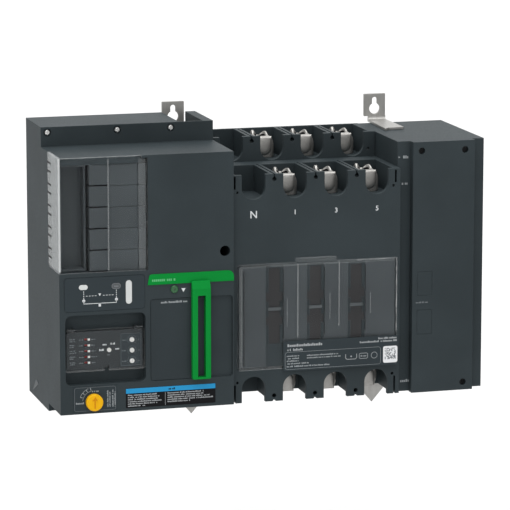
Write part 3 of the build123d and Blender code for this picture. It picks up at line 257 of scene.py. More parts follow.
# Print and flat trim
ink("ink_white", (0.60, 0.62, 0.63))
ink("ink_pale", (0.33, 0.345, 0.355))
ink("ink_mid", (0.28, 0.30, 0.31))
ink("ink_grey", (0.16, 0.175, 0.185), vary=0.08)
ink("ink_blue", (0.020, 0.25, 0.50), 0.4, vary=0.04)
ink("ink_black", (0.006, 0.006, 0.007), 0.5, vary=0.1, specular=0.08)
ink("ink_patch", (0.70, 0.71, 0.72), 0.5, vary=0.03)
ink("strip_ink", (0.11, 0.42, 0.18), 0.5, vary=0.05)
ink("knob_orange", (0.58, 0.23, 0.004), 0.42, vary=0.05, edge_radius=0.0002)
ink("backing_plastic", (0.055, 0.064, 0.069), 0.5, vary=0.1, edge_radius=0.0006)
ink("housing_light", (0.085, 0.095, 0.10), 0.5, vary=0.1, edge_radius=0.0002)

# CAD nodes that look different from the rest of their material slot
OWN_MATERIAL = {
    "controller_lid": "clear_lid",
    "window_cover": "clear_window",
    "source2_lamp": "lamp_off",
    "notice_label": "label_black",
    "window_plates": "sight_plate",
    "wire_duct": "terminal_plastic",
    "window_bars": "housing_light",
    "supply_screws": "dark_screw",
}


def paint_cad_nodes():
    """Gives every CAD node its material, by the record's material slot or by its own name."""
    for part in frame["record"]["subparts"]:
        node = nodes[part["node"]]
        chosen = materials[OWN_MATERIAL.get(part["node"], part["material_slot"])]
        node.data.materials.clear()
        node.data.materials.append(chosen)


# ---------------------------------------------------------------- printed marks


class Face:
    """Flat face of a CAD node. Marks on it are placed in millimetres from its lower left corner,
    as seen from the front, or from the left for a face that looks to the left."""

    def __init__(self, node, body="housing", plane=None, left=False):
        low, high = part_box(node)
        self.body = body
        if left:
            self.right, self.normal = Vector((0, -1, 0)), Vector((-1, 0, 0))
            self.origin = Vector((low.x, high.y, low.z))
        else:
            self.right, self.normal = Vector((1, 0, 0)), Vector((0, -1, 0))
            self.origin = Vector((low.x, low.y if plane is None else plane, low.z))
        self.size = ((high - low).dot(abs_vector(self.right)) / MM, (high.z - low.z) / MM)

    def spot(self, corner):
        """A point of the frame as (u, v) in millimetres on a face seen from the front."""
        return (corner.x - self.origin.x) / MM, (corner.z - self.origin.z) / MM

    def middle_of(self, node):
        """Middle of another node's box, in millimetres on this face."""
        (u0, v0), (u1, v1) = [self.spot(corner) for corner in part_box(node)]
        return (u0 + u1) / 2, (v0 + v1) / 2

    def point(self, u, v, lift):
        return self.origin + self.right * u * MM + Vector((0, 0, v * MM)) + self.normal * lift * MM


def abs_vector(vector):
    return Vector([abs(c) for c in vector])


def marks(name, face, outlines, material, lift=INK_LIFT):
    """Thin raised print: each outline of (u, v) points becomes a closed slab on the face."""
    mesh = bmesh.new()
    for outline in outlines:
        back = [mesh.verts.new(face.point(u, v, 0.0)) for u, v in outline]
        front = [mesh.verts.new(face.point(u, v, lift)) for u, v in outline]
        mesh.faces.new(back)
        mesh.faces.new(list(reversed(front)))
        for i, corner in enumerate(back):
            j = (i + 1) % len(back)
            mesh.faces.new((corner, front[i], front[j], back[j]))
    bmesh.ops.recalc_face_normals(mesh, faces=mesh.faces)
    return add_piece(name, mesh, face.body, material)


def add_piece(name, mesh, body, material):
    """Turns a bmesh in the row frame into a named piece that rides on a body."""
    data = bpy.data.meshes.new(name)
    mesh.to_mesh(data)
    mesh.free()
    data.materials.append(materials[material])
    piece = bpy.data.objects.new(name, data)
    bpy.context.scene.collection.objects.link(piece)
    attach(piece, body)
    return piece


def bar(u0, v0, u1, v1):
    return [(u0, v0), (u1, v0), (u1, v1), (u0, v1)]


def centred_bar(u, v, width, height):
    return bar(u - width / 2, v - height / 2, u + width / 2, v + height / 2)


def disc(u, v, radius, steps=20):
    return [(u + radius * math.cos(a), v + radius * math.sin(a))
            for a in (2 * math.pi * i / steps for i in range(steps))]


def arc(u, v, radius, start, end, steps):
    """Points of an arc, between two angles in degrees."""
    angles = [math.radians(start + (end - start) * i / steps) for i in range(steps + 1)]
    return [(u + radius * math.cos(a), v + radius * math.sin(a)) for a in angles]


def band(u, v, radius, width, start, end, steps=14):
    """Part of a ring, between two angles in degrees."""
    outer = arc(u, v, radius + width / 2, start, end, steps)
    inner = arc(u, v, radius - width / 2, start, end, steps)
    return outer + inner[::-1]


def down_arrow(u, v, width, height):
    return [(u - width / 2, v + height / 2), (u, v - height / 2), (u + width / 2, v + height / 2)]


def right_arrow(u, v, width, height):
    return [(u - width / 2, v - height / 2), (u + width / 2, v), (u - width / 2, v + height / 2)]


def rounded_frame(u0, v0, u1, v1, radius, width):
    """Thin line round a rectangle with round corners."""
    pieces = [bar(u0 + radius, v1 - width / 2, u1 - radius, v1 + width / 2),
              bar(u0 + radius, v0 - width / 2, u1 - radius, v0 + width / 2),
              bar(u0 - width / 2, v0 + radius, u0 + width / 2, v1 - radius),
              bar(u1 - width / 2, v0 + radius, u1 + width / 2, v1 - radius)]
    corners = [(u1 - radius, v1 - radius), (u0 + radius, v1 - radius),
               (u0 + radius, v0 + radius), (u1 - radius, v0 + radius)]
    for i, (u, v) in enumerate(corners):
        pieces.append(band(u, v, radius, width, 90 * i, 90 * i + 90, 6))
    return pieces


def blind_text(draw, u, v, width, height, upright=False):
    """Row of small blocks that stands for a line of small print. It spells nothing."""
    blocks = []
    at = 0.0
    while at < width - 0.3 * height:
        if draw.random() < 0.16:
            at += 0.45 * height
            continue
        wide = min(height * draw.uniform(0.38, 0.62), width - at)
        tall = height * draw.choice((0.72, 0.72, 0.72, 1.0))
        if upright:
            blocks.append(bar(u - tall, v + at, u, v + at + wide))
        else:
            blocks.append(bar(u + at, v, u + at + wide, v + tall))
        at += wide + 0.16 * height
    return blocks


TYPE_SIZE = 1.42
BOLDER = 0.07


def label_character(name, face, character, u, v, height):
    """One generic pole mark, such as N or 3, centred at (u, v)."""
    text = bpy.data.curves.new(name, "FONT")
    text.body = character
    text.size = height * MM * TYPE_SIZE
    text.align_x = "CENTER"
    text.align_y = "CENTER"
    text.extrude = INK_LIFT * MM / 2
    text.offset = BOLDER * MM
    shape = bpy.data.objects.new(name + "_curve", text)
    data = bpy.data.meshes.new_from_object(shape)
    bpy.data.objects.remove(shape)
    data.name = name
    data.transform(Matrix.Rotation(math.radians(90), 4, "X"))
    data.transform(Matrix.Translation(face.point(u, v, INK_LIFT / 2)))
    data.materials.clear()
    data.materials.append(materials["ink_white"])
    piece = bpy.data.objects.new(name, data)
    bpy.context.scene.collection.objects.link(piece)
    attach(piece, face.body)


# ---------------------------------------------------------------- control block legends


def mimic_print():
    """One line diagram of two sources, two contacts and the load."""
    face = Face("mimic_panel")
    left, right, middle = 15.8, 42.6, 28.9
    contact_v, line_v, bus_v = 8.6, 6.1, 12.4
    half = 0.25
    lines = [disc(left, contact_v, 1.25), disc(right, contact_v, 1.25)]
    lines += [bar(u - half, line_v, u + half, contact_v) for u in (left, right)]
    lines += [bar(left - half, line_v - half, right + half, line_v + half)]
    lines += [centred_bar(middle, line_v - 1.2, 1.9, 3.0)]
    for u in (left, right):
        for v in (10.6, 12.4, 14.2, 15.9):
            lines.append(centred_bar(u, v, 0.5, 1.1))
    for step in range(4):
        for side in (-1, 1):
            lines.append(centred_bar(middle + side * (3.4 + 2.4 * step), bus_v, 1.5, 0.4))
    lines.append(down_arrow(middle, bus_v + 0.6, 2.4, 2.2))
    marks("mimic_lines", face, lines, "ink_white")
    lamp = Face("source2_lamp")
    width, height = lamp.size
    line = 0.35
    rim = rounded_frame(line, line, width - line, height - line, height / 2 - 0.5, line)
    rim += blind_text(random.Random(5), 2.2, 1.6, 3.4, 1.7)
    marks("source2_mark", lamp, rim, "ink_grey")


def controller_print():
    """Small print beside the setting switches, round the selector and at the delay dials."""
    draw = random.Random(11)
    face = Face("controller", plane=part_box("dial_panel")[1].y)
    name_u, low_u, high_u = 2.6, 10.4, 20.4
    row = 1.0
    faint, bright = [], []
    for i in range(1, 6):
        v = face.middle_of(f"dip_slider_{i}")[1]
        faint += blind_text(draw, name_u, v + 0.2, 4.0 + 1.2 * draw.random(), row)
        faint += blind_text(draw, name_u, v - 1.4, 3.0 + 2.6 * draw.random(), row)
        faint += blind_text(draw, low_u, v - 0.5, 3.6, row)
        faint += blind_text(draw, high_u, v - 0.5, 2.6 + 2.4 * draw.random(), row)
    u, v = face.middle_of("selector")
    for side, rise in ((-6.2, 0.2), (-3.4, 4.6), (3.2, 4.9), (6.4, 0.6)):
        bright += blind_text(draw, u + side - 1.9, v + rise - 0.7, 3.8, 1.6)
    faint += blind_text(draw, u - 1.6, v - 4.4, 3.2, row)
    marks("controller_small_print", face, faint, "ink_grey")
    marks("selector_print", face, bright, "ink_white")
    plate = Face("dial_panel")
    inset, scale_radius = 0.5, 3.6
    ticks = rounded_frame(inset, inset, plate.size[0] - inset, plate.size[1] - inset, 0.8, 0.16)
    for i in range(1, 4):
        u, v = plate.middle_of(f"delay_dial_{i}")
        ticks += [disc(*centre, 0.3, 8) for centre in arc(u, v, scale_radius, -45, 225, 10)]
        ticks += blind_text(draw, 1.4, v - 0.5, 3.4, row)
        ticks += blind_text(draw, u + 4.6, v - 0.5, 2.0, 0.8)
    marks("dial_print", plate, ticks, "ink_grey")


def knob_print():
    """Frame, curved scale and small print on the plate of the yellow knob."""
    face = Face("knob_plate")
    draw = random.Random(23)
    u, v = face.middle_of("test_knob")
    width, height = face.size
    inset = 0.9
    frame_line = rounded_frame(inset, inset, width - inset, height - inset, 1.6, 0.22)
    marks("knob_frame", face, frame_line, "ink_grey")
    lines = [band(u, v, 9.3, 0.3, 100, 172), band(u, v, 12.0, 0.3, 112, 160)]
    for angle in (104, 122, 140, 158):
        turn = math.radians(angle)
        for radius in (10.4, 11.0, 11.6):
            lines.append(disc(u + radius * math.cos(turn), v + radius * math.sin(turn), 0.38, 10))
    lines += blind_text(draw, u - 1.4, v + 8.0, 6.2, 1.5)
    lines += blind_text(draw, 2.0, v - 1.4, 6.6, 1.5)
    foot = 3.2
    for column in (28.8, 33.0):
        lines += blind_text(draw, column, foot, 14.0, 1.2, upright=True)
        lines += blind_text(draw, column + 1.7, foot, 12.6, 1.0, upright=True)
    marks("knob_legend", face, lines, "ink_mid")


def knob_arrow():
    """Arrow on the yellow knob, moulded in a darker shade."""
    face = Face("test_knob", body="run_test_knob")
    width, height = face.size
    u, v = width / 2, height / 2
    stem, barb, tail, neck, tip = 0.5, 2.2, 4.4, 2.0, 5.0
    arrow = [(u - stem, v - tail), (u + stem, v - tail), (u + stem, v + neck), (u + barb, v + neck),
             (u, v + tip), (u - barb, v + neck), (u - stem, v + neck)]
    marks("knob_arrow", face, [arrow], "knob_orange")


def notice_print():
    """Notice below the mode door: a blue head, and two columns of small print."""
    face = Face("notice_label")
    draw = random.Random(31)
    width, height = face.size
    head = 4.0
    marks("notice_head", face, [bar(0, height - head, width, height)], "ink_blue", 0.05)
    marks("notice_head_word", face, blind_text(draw, width / 2 - 3.4, height - 2.8, 6.8, 1.7), "ink_black",
          0.09)
    rows = []
    pitch = 1.78
    # Left end, right end and number of rows of each column
    for left, right, count in ((1.6, 30.8, 6), (34.6, 73.0, 5)):
        for i in range(count):
            length = (right - left) * (0.5 if i == count - 1 else draw.uniform(0.78, 1.0))
            rows += blind_text(draw, left, height - head - 2.0 - i * pitch, length, 1.15)
    rows.append(centred_bar(32.7, (height - head) / 2, 0.25, height - head - 1.2))
    marks("notice_rows", face, rows, "ink_pale")


def mode_print():
    """Words on the green strip, the pointer beside its lamp, and the words on the door."""
    draw = random.Random(41)
    marks("strip_word", Face("green_strip"), blind_text(draw, 3.6, 2.6, 21.0, 2.5), "strip_ink")
    cover = Face("mechanism_cover")
    u, v = cover.middle_of("mode_lamp")
    marks("mode_pointer", cover, [down_arrow(u + 7.6, v - 1.2, 3.6, 3.2)], "ink_white")
    door = Face("mode_door", body="mode_slider")
    height = door.size[1]
    marks("door_words", door, blind_text(draw, 8.6, height - 3.6, 22.4, 1.7), "ink_mid")


# ---------------------------------------------------------------- switch and supply legends

POLE_PITCH = 35.0


def pole_print():
    """Pole marks below the upper row of terminals. The neutral mark is the larger one."""
    face = Face("switch_front")
    middle = face.size[0] / 2 - 1.0
    for i, character in enumerate("N135"):
        v, tall = (155.6, 6.0) if character == "N" else (156.2, 3.9)
        label_character(f"pole_mark_{character}", face, character, middle + (i - 1.5) * POLE_PITCH, v, tall)


def nameplate_print():
    """Rating plate: rows that spell nothing, thin frames and plain marks."""
    face = Face("nameplate")
    draw = random.Random(53)
    width, height = face.size
    rows = blind_text(draw, 3.4, height - 4.6, 30.0, 2.3) + blind_text(draw, 3.4, height - 8.0, 13.0, 1.9)
    rows += blind_text(draw, width - 17.0, height - 2.6, 16.0, 1.6)
    rows += blind_text(draw, width - 33.0, height - 5.0, 32.0, 1.6)
    marks("plate_heading", face, rows, "ink_pale")
    small = rounded_frame(1.4, 1.4, width - 15.0, height - 9.0, 2.0, 0.2)
    pitch, row = 2.1, 1.2
    # Left end, length, height of the first row and number of rows of each block
    for left, length, top, count in ((2.8, 12.0, 12.0, 3), (20.0, 31.0, 11.8, 2)):
        for i in range(count):
            small += blind_text(draw, left, top - i * pitch, length * draw.uniform(0.8, 1.0), row)
    small += blind_text(draw, 2.8, 5.6, 20.0, row) + blind_text(draw, 2.8, 3.2, 37.0, row)
    small += rounded_frame(65.0, 6.9, 72.2, 11.3, 1.2, 0.45)
    small += blind_text(draw, 66.2, 8.4, 4.8, 1.4)
    small.append(band(77.9, 9.1, 2.6, 0.4, 0, 350))
    marks("plate_small_print", face, small, "ink_mid")
    # Tray mark: two uprights, a floor, two round corners and a dot
    tray = [bar(53.0, 8.8, 53.5, 11.2), bar(62.5, 8.8, 63.0, 11.2), bar(55.0, 6.6, 61.0, 7.1),
            band(55.1, 8.8, 1.95, 0.5, 180, 270, 6), band(60.9, 8.8, 1.95, 0.5, 270, 360, 6),
            disc(58.0, 9.2, 0.7, 10)]
    marks("plate_symbol", face, tray, "ink_pale")
    code_patch(face, draw, width - 12.8, 2.0)


def code_patch(face, draw, left, bottom):
    """Pale patch with round corners, and a random field of square cells on it."""
    side, tall, radius = 12.4, 14.0, 1.6
    patch = []
    for i, (at_right, at_top) in enumerate(((1, 1), (0, 1), (0, 0), (1, 0))):
        u = left + (side - radius if at_right else radius)
        v = bottom + (tall - radius if at_top else radius)
        patch += arc(u, v, radius, 90 * i, 90 * i + 90, 6)
    marks("code_patch", face, [patch], "ink_patch")
    count, margin, foot, filled, share = 13, 1.5, 3.0, 0.94, 0.52
    cell = (side - 2 * margin) / count
    cells = []
    for row in range(count):
        for column in range(count):
            if draw.random() < share:
                u, v = left + margin + column * cell, bottom + foot + row * cell
                cells.append(bar(u, v, u + cell * filled, v + cell * filled))
    marks("code_cells", face, cells, "ink_grey", 2.2 * INK_LIFT)


def supply_print():
    """Small terminal legends on the supply box."""
    draw = random.Random(67)
    face = Face("supply_base")
    lines = []
    # Height and length of the legend at each row of terminals
    for v, length in ((195.7, 5.4), (173.8, 5.4), (7.6, 8.0)):
        lines.append(right_arrow(1.6, v + 1.1, 1.4, 1.7))
        lines += blind_text(draw, 3.8, v, length, 2.3)
    marks("supply_legends", face, lines, "ink_mid")
    cover = Face("supply_cover")
    marks("supply_cover_word", cover, blind_text(draw, 3.2, 75.6, 10.6, 1.3), "ink_grey")


def corner_mark():
    """Small moulded triangle at the rear lower corner of the left face."""
    face = Face("mechanism_base", left=True)
    marks("corner_mark", face, [[(15.5, 4.3), (38.5, 14.1), (28.3, 16.1)]], "housing_light",
          0.25)


# ---------------------------------------------------------------- cable lugs

# Sizes are in millimetres; the shifts move a set of lugs sideways from the CAD's
LUG_LENGTH = 23.0
LUG_HALF = 8.2
LUG_COUNT = 3
ROW_STEP = 21.0
CLAMP_PROUD = 2.0
SOURCE_SHIFT = 0.8
LOAD_SHIFT = -1.6
LUG_STEPS = 48
# Corners flatter than this many degrees are shaded smooth
SMOOTH_BELOW = 38
# Material index of the dark material: painted shade inside the bores, and a small dark dot
DARK = 1


def oval(u, d, half_u, half_d, power):
    """Outline between a circle and a rectangle, from its right side round by the rear."""
    points = []
    for i in range(LUG_STEPS):
        angle = 2 * math.pi * i / LUG_STEPS
        across, back = math.cos(angle), math.sin(angle)
        reach = (abs(across / half_u) ** power + abs(back / half_d) ** power) ** (-1 / power)
        points.append((u + reach * across, d + reach * back))
    return points


def hill(step, middle, spread):
    """Smooth rise round one angle of an outline, in degrees."""
    return math.exp(-(((360.0 * step / LUG_STEPS) - middle) / spread) ** 2)


def loft(mesh, rings, material=0):
    """Closed skin through rings of equal length, with a cap at each end."""
    loops = [[mesh.verts.new(point) for point in ring] for ring in rings]
    faces = [mesh.faces.new(loops[0]), mesh.faces.new(loops[-1][::-1])]
    for lower, upper in zip(loops, loops[1:]):
        for i, corner in enumerate(lower):
            j = (i + 1) % len(lower)
            faces.append(mesh.faces.new((corner, upper[i], upper[j], lower[j])))
    for face in faces:
        face.material_index = material
    return faces


def cast_lug(mesh, x, front, top, up):
    """Cast box lug: a body with a bevelled shoulder, two rear lobes round the cable bore, and a
    crowned clamp face in front. Its own sizes are in millimetres; up is 1, or -1 for a load lug."""

    def place(u, d, v):
        return Vector((x + u * MM, front + d * MM, top + up * v * MM))

    outer = oval(0.0, LUG_LENGTH / 2, LUG_HALF, LUG_LENGTH / 2, 7.0)
    bore = oval(-1.0, 13.0, 4.4, 5.2, 2.0)
    bore_floor = -14.0
    # Body, from its foot up: height and inset of each ring. The right side leans in above the bevel.
    bevel_start, bevel_slope = -6.5, 0.45
    rings = []
    for v, inset in ((-17.6, 0.8), (-16.6, 0.0), (bevel_start, 0.0), (-4.0, 0.0), (-1.4, 0.2)):
        limit = LUG_HALF - max(0.0, v - bevel_start) * bevel_slope
        rings.append([place(min(u, limit) * (1 - inset / LUG_HALF), d, v) for u, d in outer])
    # Top, from the rim in to the bore: share of the way in, base height, and rise of the lobes
    shoulder = 5.8
    rim = [(min(u, shoulder), d) for u, d in outer]
    lobes = [0.7 * hill(i, 34, 36) + hill(i, 138, 24) - 0.8 * hill(i, 96, 14) for i in range(LUG_STEPS)]
    for inward, base, rise in ((0.1, -0.7, 2.2), (0.3, -0.2, 3.4), (0.7, -0.2, 3.6), (0.9, -0.6, 2.9),
                               (1.0, -1.2, 1.8)):
        rings.append([place(a[0] + (b[0] - a[0]) * inward, a[1] + (b[1] - a[1]) * inward, base + rise * lobe)
                      for a, b, lobe in zip(rim, bore, lobes)])
    faces = loft(mesh, rings + [[place(u, d, bore_floor) for u, d in bore]])
    # The floor and the wall of the bore, in the dark material: painted shade
    for face in faces[1:2] + faces[-LUG_STEPS:]:
        face.material_index = DARK
    # Clamp face with a round foot, crowned by rings that stand further out and shrink to a centre
    middle, foot, half, top_edge = -1.2, -9.2, 6.3, 0.2
    shape = [(middle - half, top_edge), (middle + half, top_edge)]
    shape += [(u, 2 * foot - v) for u, v in arc(middle, foot, half, 0, 180, 18)]
    centre_u, centre_v = middle - 0.6, -7.2
    crown = ((0.4, 1.0), (-0.9, 1.0), (-1.7, 0.93), (-2.3, 0.78), (-2.6, 0.5), (-2.7, 0.2))
    loft(mesh, [[place(centre_u + (u - centre_u) * scale, d, centre_v + (v - centre_v) * scale)
                 for u, v in shape] for d, scale in crown])
    # Small dark dot low on the left of the body, in the dark material
    dark_dot = disc(-4.3, -15.4, 0.7, 12)
    loft(mesh, [[place(u, d, v) for u, v in dark_dot] for d in (0.5, -0.05)], DARK)


def cable_lugs():
    """Nine cast lugs, in place of the plainer boxes and screws of the CAD."""
    low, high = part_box("source_lugs")
    rear = (high.y - LUG_LENGTH * MM, high.z)
    fore = (low.y + CLAMP_PROUD * MM, high.z - ROW_STEP * MM)
    load_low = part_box("load_lugs")[0]
    load = (load_low.y + CLAMP_PROUD * MM, load_low.z)
    source_left, load_left = low.x + SOURCE_SHIFT * MM, load_low.x + LOAD_SHIFT * MM
    sets = (("source_lugs_cast", (rear, fore), 1, source_left, ("source_lugs", "lug_screws")),
            ("load_lugs_cast", (load,), -1, load_left, ("load_lugs",)))
    for name, rows, up, left, replaced in sets:
        mesh = bmesh.new()
        for front, top in rows:
            for i in range(LUG_COUNT):
                cast_lug(mesh, left + (LUG_HALF + i * POLE_PITCH) * MM, front, top, up)
        bmesh.ops.recalc_face_normals(mesh, faces=mesh.faces)
        piece = add_piece(name, mesh, "housing", "tinned_lug")
        # Second slot: black, as painted shade in the bores
        piece.data.materials.append(materials["ink_black"])
        piece.data.shade_smooth()
        piece.data.set_sharp_from_angle(angle=math.radians(SMOOTH_BELOW))
        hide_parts(*replaced)


# ---------------------------------------------------------------- clear edges

# Slots at the rear edge of the terminal cover, in pairs, from the top down, in millimetres
VENT_COUNT = 10
VENT_DROP = 7.8
VENT_PITCH = 17.4
VENT_STEP = 7.0
VENT_HALF = 0.7
VENT_LENGTH = 12.8
# The finger tab of the window cover ends this much above the cover itself
TAB_RISE = 3.6


def edge_bar(name, low, high, body, material="clear_edge_highlight"):
    """Painted highlight or painted shade on a clear moulding: a slim bar with its long edges taken off."""
    mesh = bmesh.new()
    bmesh.ops.create_cube(mesh, size=1.0)
    size = Vector(high) - Vector(low)
    for vertex in mesh.verts:
        vertex.co = Vector(low) + Vector([(vertex.co[i] + 0.5) * size[i] for i in range(3)])
    bmesh.ops.bevel(mesh, geom=list(mesh.edges), offset=min(size) * 0.25, segments=2, affect="EDGES")
    add_piece(name, mesh, body, material)


def uneven_edge(name, start, end, radius, body, seed, material="clear_edge_highlight"):
    """Painted highlight along an edge of a clear moulding, uneven in brightness: a thin rod that swells and
    shrinks.
    """
    draw = random.Random(seed)
    start, end = Vector(start), Vector(end)
    along = (end - start).normalized()
    side = along.cross(Vector((0.3, 1.0, 0.2))).normalized()
    other = along.cross(side)
    count = max(4, int((end - start).length / (1.6 * MM)))
    rings = []
    for i in range(count + 1):
        thick = radius * (0.3 if i in (0, count) else draw.choice((0.35, 0.6, 0.9, 1.2)))
        middle = start.lerp(end, i / count)
        rings.append([middle + (side * math.cos(a) + other * math.sin(a)) * thick
                      for a in (2 * math.pi * k / 8 for k in range(8))])
    mesh = bmesh.new()
    loft(mesh, rings)
    bmesh.ops.recalc_face_normals(mesh, faces=mesh.faces)
    add_piece(name, mesh, body, material).data.shade_smooth()


def cover_edges():
    """Painted highlights on the edges and the rib of the terminal cover, and a painted lighter band near its
    right edge.
    """
    low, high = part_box("terminal_cover")
    body = "wiring_cover"
    proud = 0.15 * MM
    bottom = low.z + 4.4 * MM
    # Bright clear bars and rods on the corner, the rib and the top and side edges: painted highlights
    edge_bar("cover_corner_edge", (low.x - proud, low.y - proud, bottom),
             (low.x + 1.3 * MM, low.y + 0.7 * MM, high.z - 0.3 * MM), body)
    rib = low.x + 40.2 * MM
    edge_bar("cover_rib_highlight", (rib, low.y - proud, bottom),
             (rib + 0.9 * MM, low.y + 0.4 * MM, high.z - 1.5 * MM), body, "clear_line_highlight")
    # Lighter clear band at the right: painted light over the shaded bay behind
    edge_bar("cover_right_band", (high.x - 7.2 * MM, low.y - 0.05 * MM, bottom + 0.5 * MM),
             (high.x - 1.4 * MM, low.y + 0.5 * MM, high.z - 3.0 * MM), body, "clear_rim_highlight")
    left, middle, right = low.x + 1.0 * MM, low.x + 38.0 * MM, high.x - 8.0 * MM
    side, front, top = low.x + 0.2 * MM, low.y + 0.2 * MM, high.z - 0.2 * MM
    # Start, end, radius in millimetres and seed of each edge
    for name, start, end, radius, seed in (
            ("cover_top_edge_left", (left, front, top), (middle, front, top), 0.3, 3),
            ("cover_top_edge_right", (middle, front, top), (right, front, top), 0.25, 4),
            ("cover_side_edge", (side, low.y + 1.0 * MM, top), (side, high.y - 0.6 * MM, top), 0.3, 6)):
        uneven_edge(name, start, end, radius * MM, body, seed, "clear_line_highlight")


def cover_side():
    """Painted sheen on the side of the terminal cover, and painted shade for the dark inside of the slots at
    its rear edge.
    """
    low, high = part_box("terminal_cover")
    # Lighter clear slab over the side: painted sheen
    edge_bar("cover_side_sheen", (low.x - 0.1 * MM, low.y + 0.8 * MM, low.z + 4.4 * MM),
             (low.x + 0.2 * MM, high.y - 0.2 * MM, high.z - 0.4 * MM), "wiring_cover", "clear_side_sheen")
    face = Face("terminal_cover", body="wiring_cover", left=True)
    top = face.size[1] - VENT_DROP
    slots = []
    for i in range(VENT_COUNT):
        v = top - (i // 2) * VENT_PITCH - (i % 2) * VENT_STEP
        slots.append(bar(0.1, v - VENT_HALF, VENT_LENGTH, v + VENT_HALF))
    # Black slabs over the slots: painted shade of their insides
    marks("cover_vent_shade", face, slots, "ink_black", 0.2)


def window_backing():
    """Lighter pads of the switch front behind its clear cover, beside the three columns of windows."""
    face = Face("switch_front")
    low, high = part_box("window_cover")
    first_column = face.spot(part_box("window_bars")[0])[0] + 5.4
    inset, half_column = 2.0, 7.2
    (start, bottom), (end, top) = face.spot(low), face.spot(high)
    start, end = start + inset, end - inset
    bottom, top = bottom + inset, top - TAB_RISE - inset
    pads = []
    for i in range(3):
        middle = first_column + POLE_PITCH * i
        pads.append(bar(start, bottom, middle - half_column, top))
        start = middle + half_column
    pads.append(bar(start, bottom, end, top))
    marks("window_backing", face, pads, "backing_plastic", 0.15)


def window_edges():
    """Painted highlights on the rim, ribs, finger tab and right edges of the clear cover over the sight
    windows, and lines of painted shade beside its rim and windows.
    """
    low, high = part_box("window_cover")
    front = low.y
    left = low.x + 0.6 * MM
    top = high.z - TAB_RISE * MM
    rim = 2.2 * MM

    def bar_at(name, x0, z0, x1, z1, material, proud=0.12):
        edge_bar(name, (x0, front - proud * MM, z0), (x1, front + 0.3 * MM, z1), "housing", material)

    # Lighter clear bars along the rim: painted highlights
    bar_at("window_rim_left", left, low.z + rim, low.x + rim, top - rim, "clear_rim_highlight")
    bar_at("window_rim_top", low.x + rim, top - 1.5 * MM, high.x - rim, top - 0.3 * MM, "clear_rim_highlight")
    bar_at("window_rim_bottom", left, low.z + 0.3 * MM, low.x + 37.0 * MM, low.z + rim, "clear_rim_highlight")
    # Place from the left edge, and the top and the foot of each line, measured down from the top edge
    half = 0.25 * MM
    # Bright lines: painted glints on the ribs and painted highlights beside the windows
    for name, offset, drop, fall, material in (("window_rib_glint_1", 50.6, 0.5, 62.0, "clear_glint"),
                                               ("window_rib_glint_2", 85.8, 0.5, 54.0, "clear_glint"),
                                               ("window_glint_1", 41.6, 29.0, 53.0, "clear_line_highlight"),
                                               ("window_glint_2", 78.0, 27.0, 48.0, "clear_line_highlight"),
                                               ("window_glint_3", 112.8, 28.0, 45.0, "clear_line_highlight")):
        x = low.x + offset * MM
        bar_at(name, x - half, top - fall * MM, x + half, top - drop * MM, material)
    # Lighter bar on the finger tab and a bright line inside the left rim: painted highlights
    bar_at("window_tab_face", -17.0 * MM, top + 0.3 * MM, 15.4 * MM, high.z - 0.3 * MM, "clear_rim_highlight", -0.6)
    bar_at("window_rim_line", low.x + 2.7 * MM, low.z + rim, low.x + 3.3 * MM, top - rim, "clear_line_highlight")
    # Dark clear bars beside the rim and beside each window: painted shade
    bar_at("window_rim_shade", low.x + 4.4 * MM, low.z + 4.0 * MM, low.x + 5.1 * MM, top - 5.0 * MM,
           "clear_shade")
    for i, foot in enumerate((62.0, 61.0, 59.0)):
        x = low.x + (37.8 + POLE_PITCH * i) * MM
        bar_at(f"window_shade_{i + 1}", x, top - foot * MM, x + 0.7 * MM, top - 4.0 * MM, "clear_shade")
    # Bright rods along the right edge and the top right corner: painted highlights
    right, edge_y = high.x - 1.3 * MM, front + 0.2 * MM
    uneven_edge("window_right_edge", (right, edge_y, top - 62.0 * MM), (right, edge_y, top),
                0.4 * MM, "housing", 8, "clear_glint")
    uneven_edge("window_corner_edge", (high.x - 36.0 * MM, edge_y, top - 0.2 * MM),
                (high.x - 0.5 * MM, edge_y, top - 0.2 * MM), 0.25 * MM, "housing", 9, "clear_glint")


# ---------------------------------------------------------------- stage, light and camera

# In metres
FLOOR_DROP = 0.15
FLOOR_HALF = 300.0
FAR_CLIP = 500.0


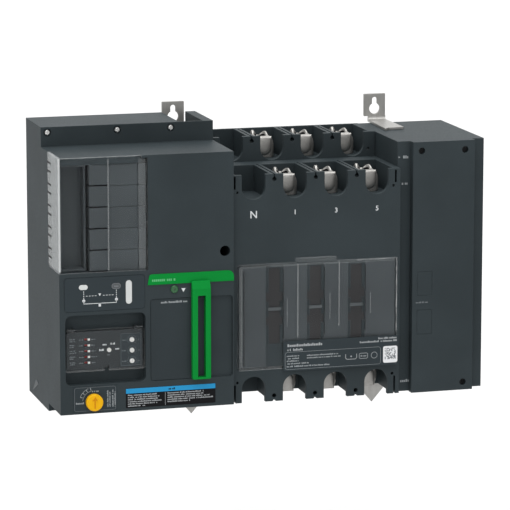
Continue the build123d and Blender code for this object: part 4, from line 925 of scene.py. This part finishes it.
def stage():
    """Plain pale floor below the object, as a wall-mounted object hangs above it."""
    mesh = bmesh.new()
    bmesh.ops.create_grid(mesh, x_segments=2, y_segments=2, size=FLOOR_HALF)
    data = bpy.data.meshes.new("floor")
    mesh.to_mesh(data)
    mesh.free()
    data.materials.append(surface("floor", (0.62, 0.62, 0.62), 0.9, specular=0.1, vary=0.01, relief=0.00001,
                                  grain=40.0, edge=1.0))
    floor = bpy.data.objects.new("floor", data)
    floor.location.z = cad_bounds[0].z - FLOOR_DROP
    bpy.context.scene.collection.objects.link(floor)


def lights():
    """Dim white surroundings and four very soft suns; the one overhead is by far the strongest."""
    world = bpy.data.worlds.new("studio")
    world.use_nodes = True
    tree = world.node_tree
    background = tree.nodes["Background"]
    background.inputs["Color"].default_value = (1, 1, 1, 1)
    background.inputs["Strength"].default_value = 0.4
    bpy.context.scene.world = world
    # Strength, apparent size and turn of each sun; the angles are in degrees
    suns = (("overhead", 3.6, 70, (2, -6, 0)), ("left", 0.33, 60, (62, 0, -85)),
            ("behind", 0.55, 50, (-64, 0, -12)), ("front", 0.9, 80, (68, 0, 0)))
    for name, strength, angle, turn in suns:
        data = bpy.data.lights.new(name, "SUN")
        data.energy = strength
        data.angle = math.radians(angle)
        lamp = bpy.data.objects.new(name, data)
        lamp.rotation_euler = [math.radians(t) for t in turn]
        bpy.context.scene.collection.objects.link(lamp)


def camera():
    """Long lens from the left and a little above."""
    azimuth, elevation = math.radians(-15.914), math.radians(10.642)
    distance = 2.7195
    target = Vector((-18.975, -8.0, -120.8)) * MM
    out = Vector((math.sin(azimuth) * math.cos(elevation), -math.cos(azimuth) * math.cos(elevation),
                  math.sin(elevation)))
    data = bpy.data.cameras.new("camera")
    data.lens = 225.9
    data.sensor_width = 36.0
    data.clip_end = FAR_CLIP
    view = bpy.data.objects.new("camera", data)
    view.location = target + out * distance
    view.rotation_euler = (-out).to_track_quat("-Z", "Y").to_euler()
    bpy.context.scene.collection.objects.link(view)
    bpy.context.scene.camera = view


paint_cad_nodes()
mimic_print()
controller_print()
knob_print()
knob_arrow()
notice_print()
mode_print()
pole_print()
nameplate_print()
supply_print()
corner_mark()
cable_lugs()
cover_edges()
cover_side()
window_backing()
window_edges()
stage()
lights()
camera()
bpy.context.scene.view_settings.view_transform = "Standard"
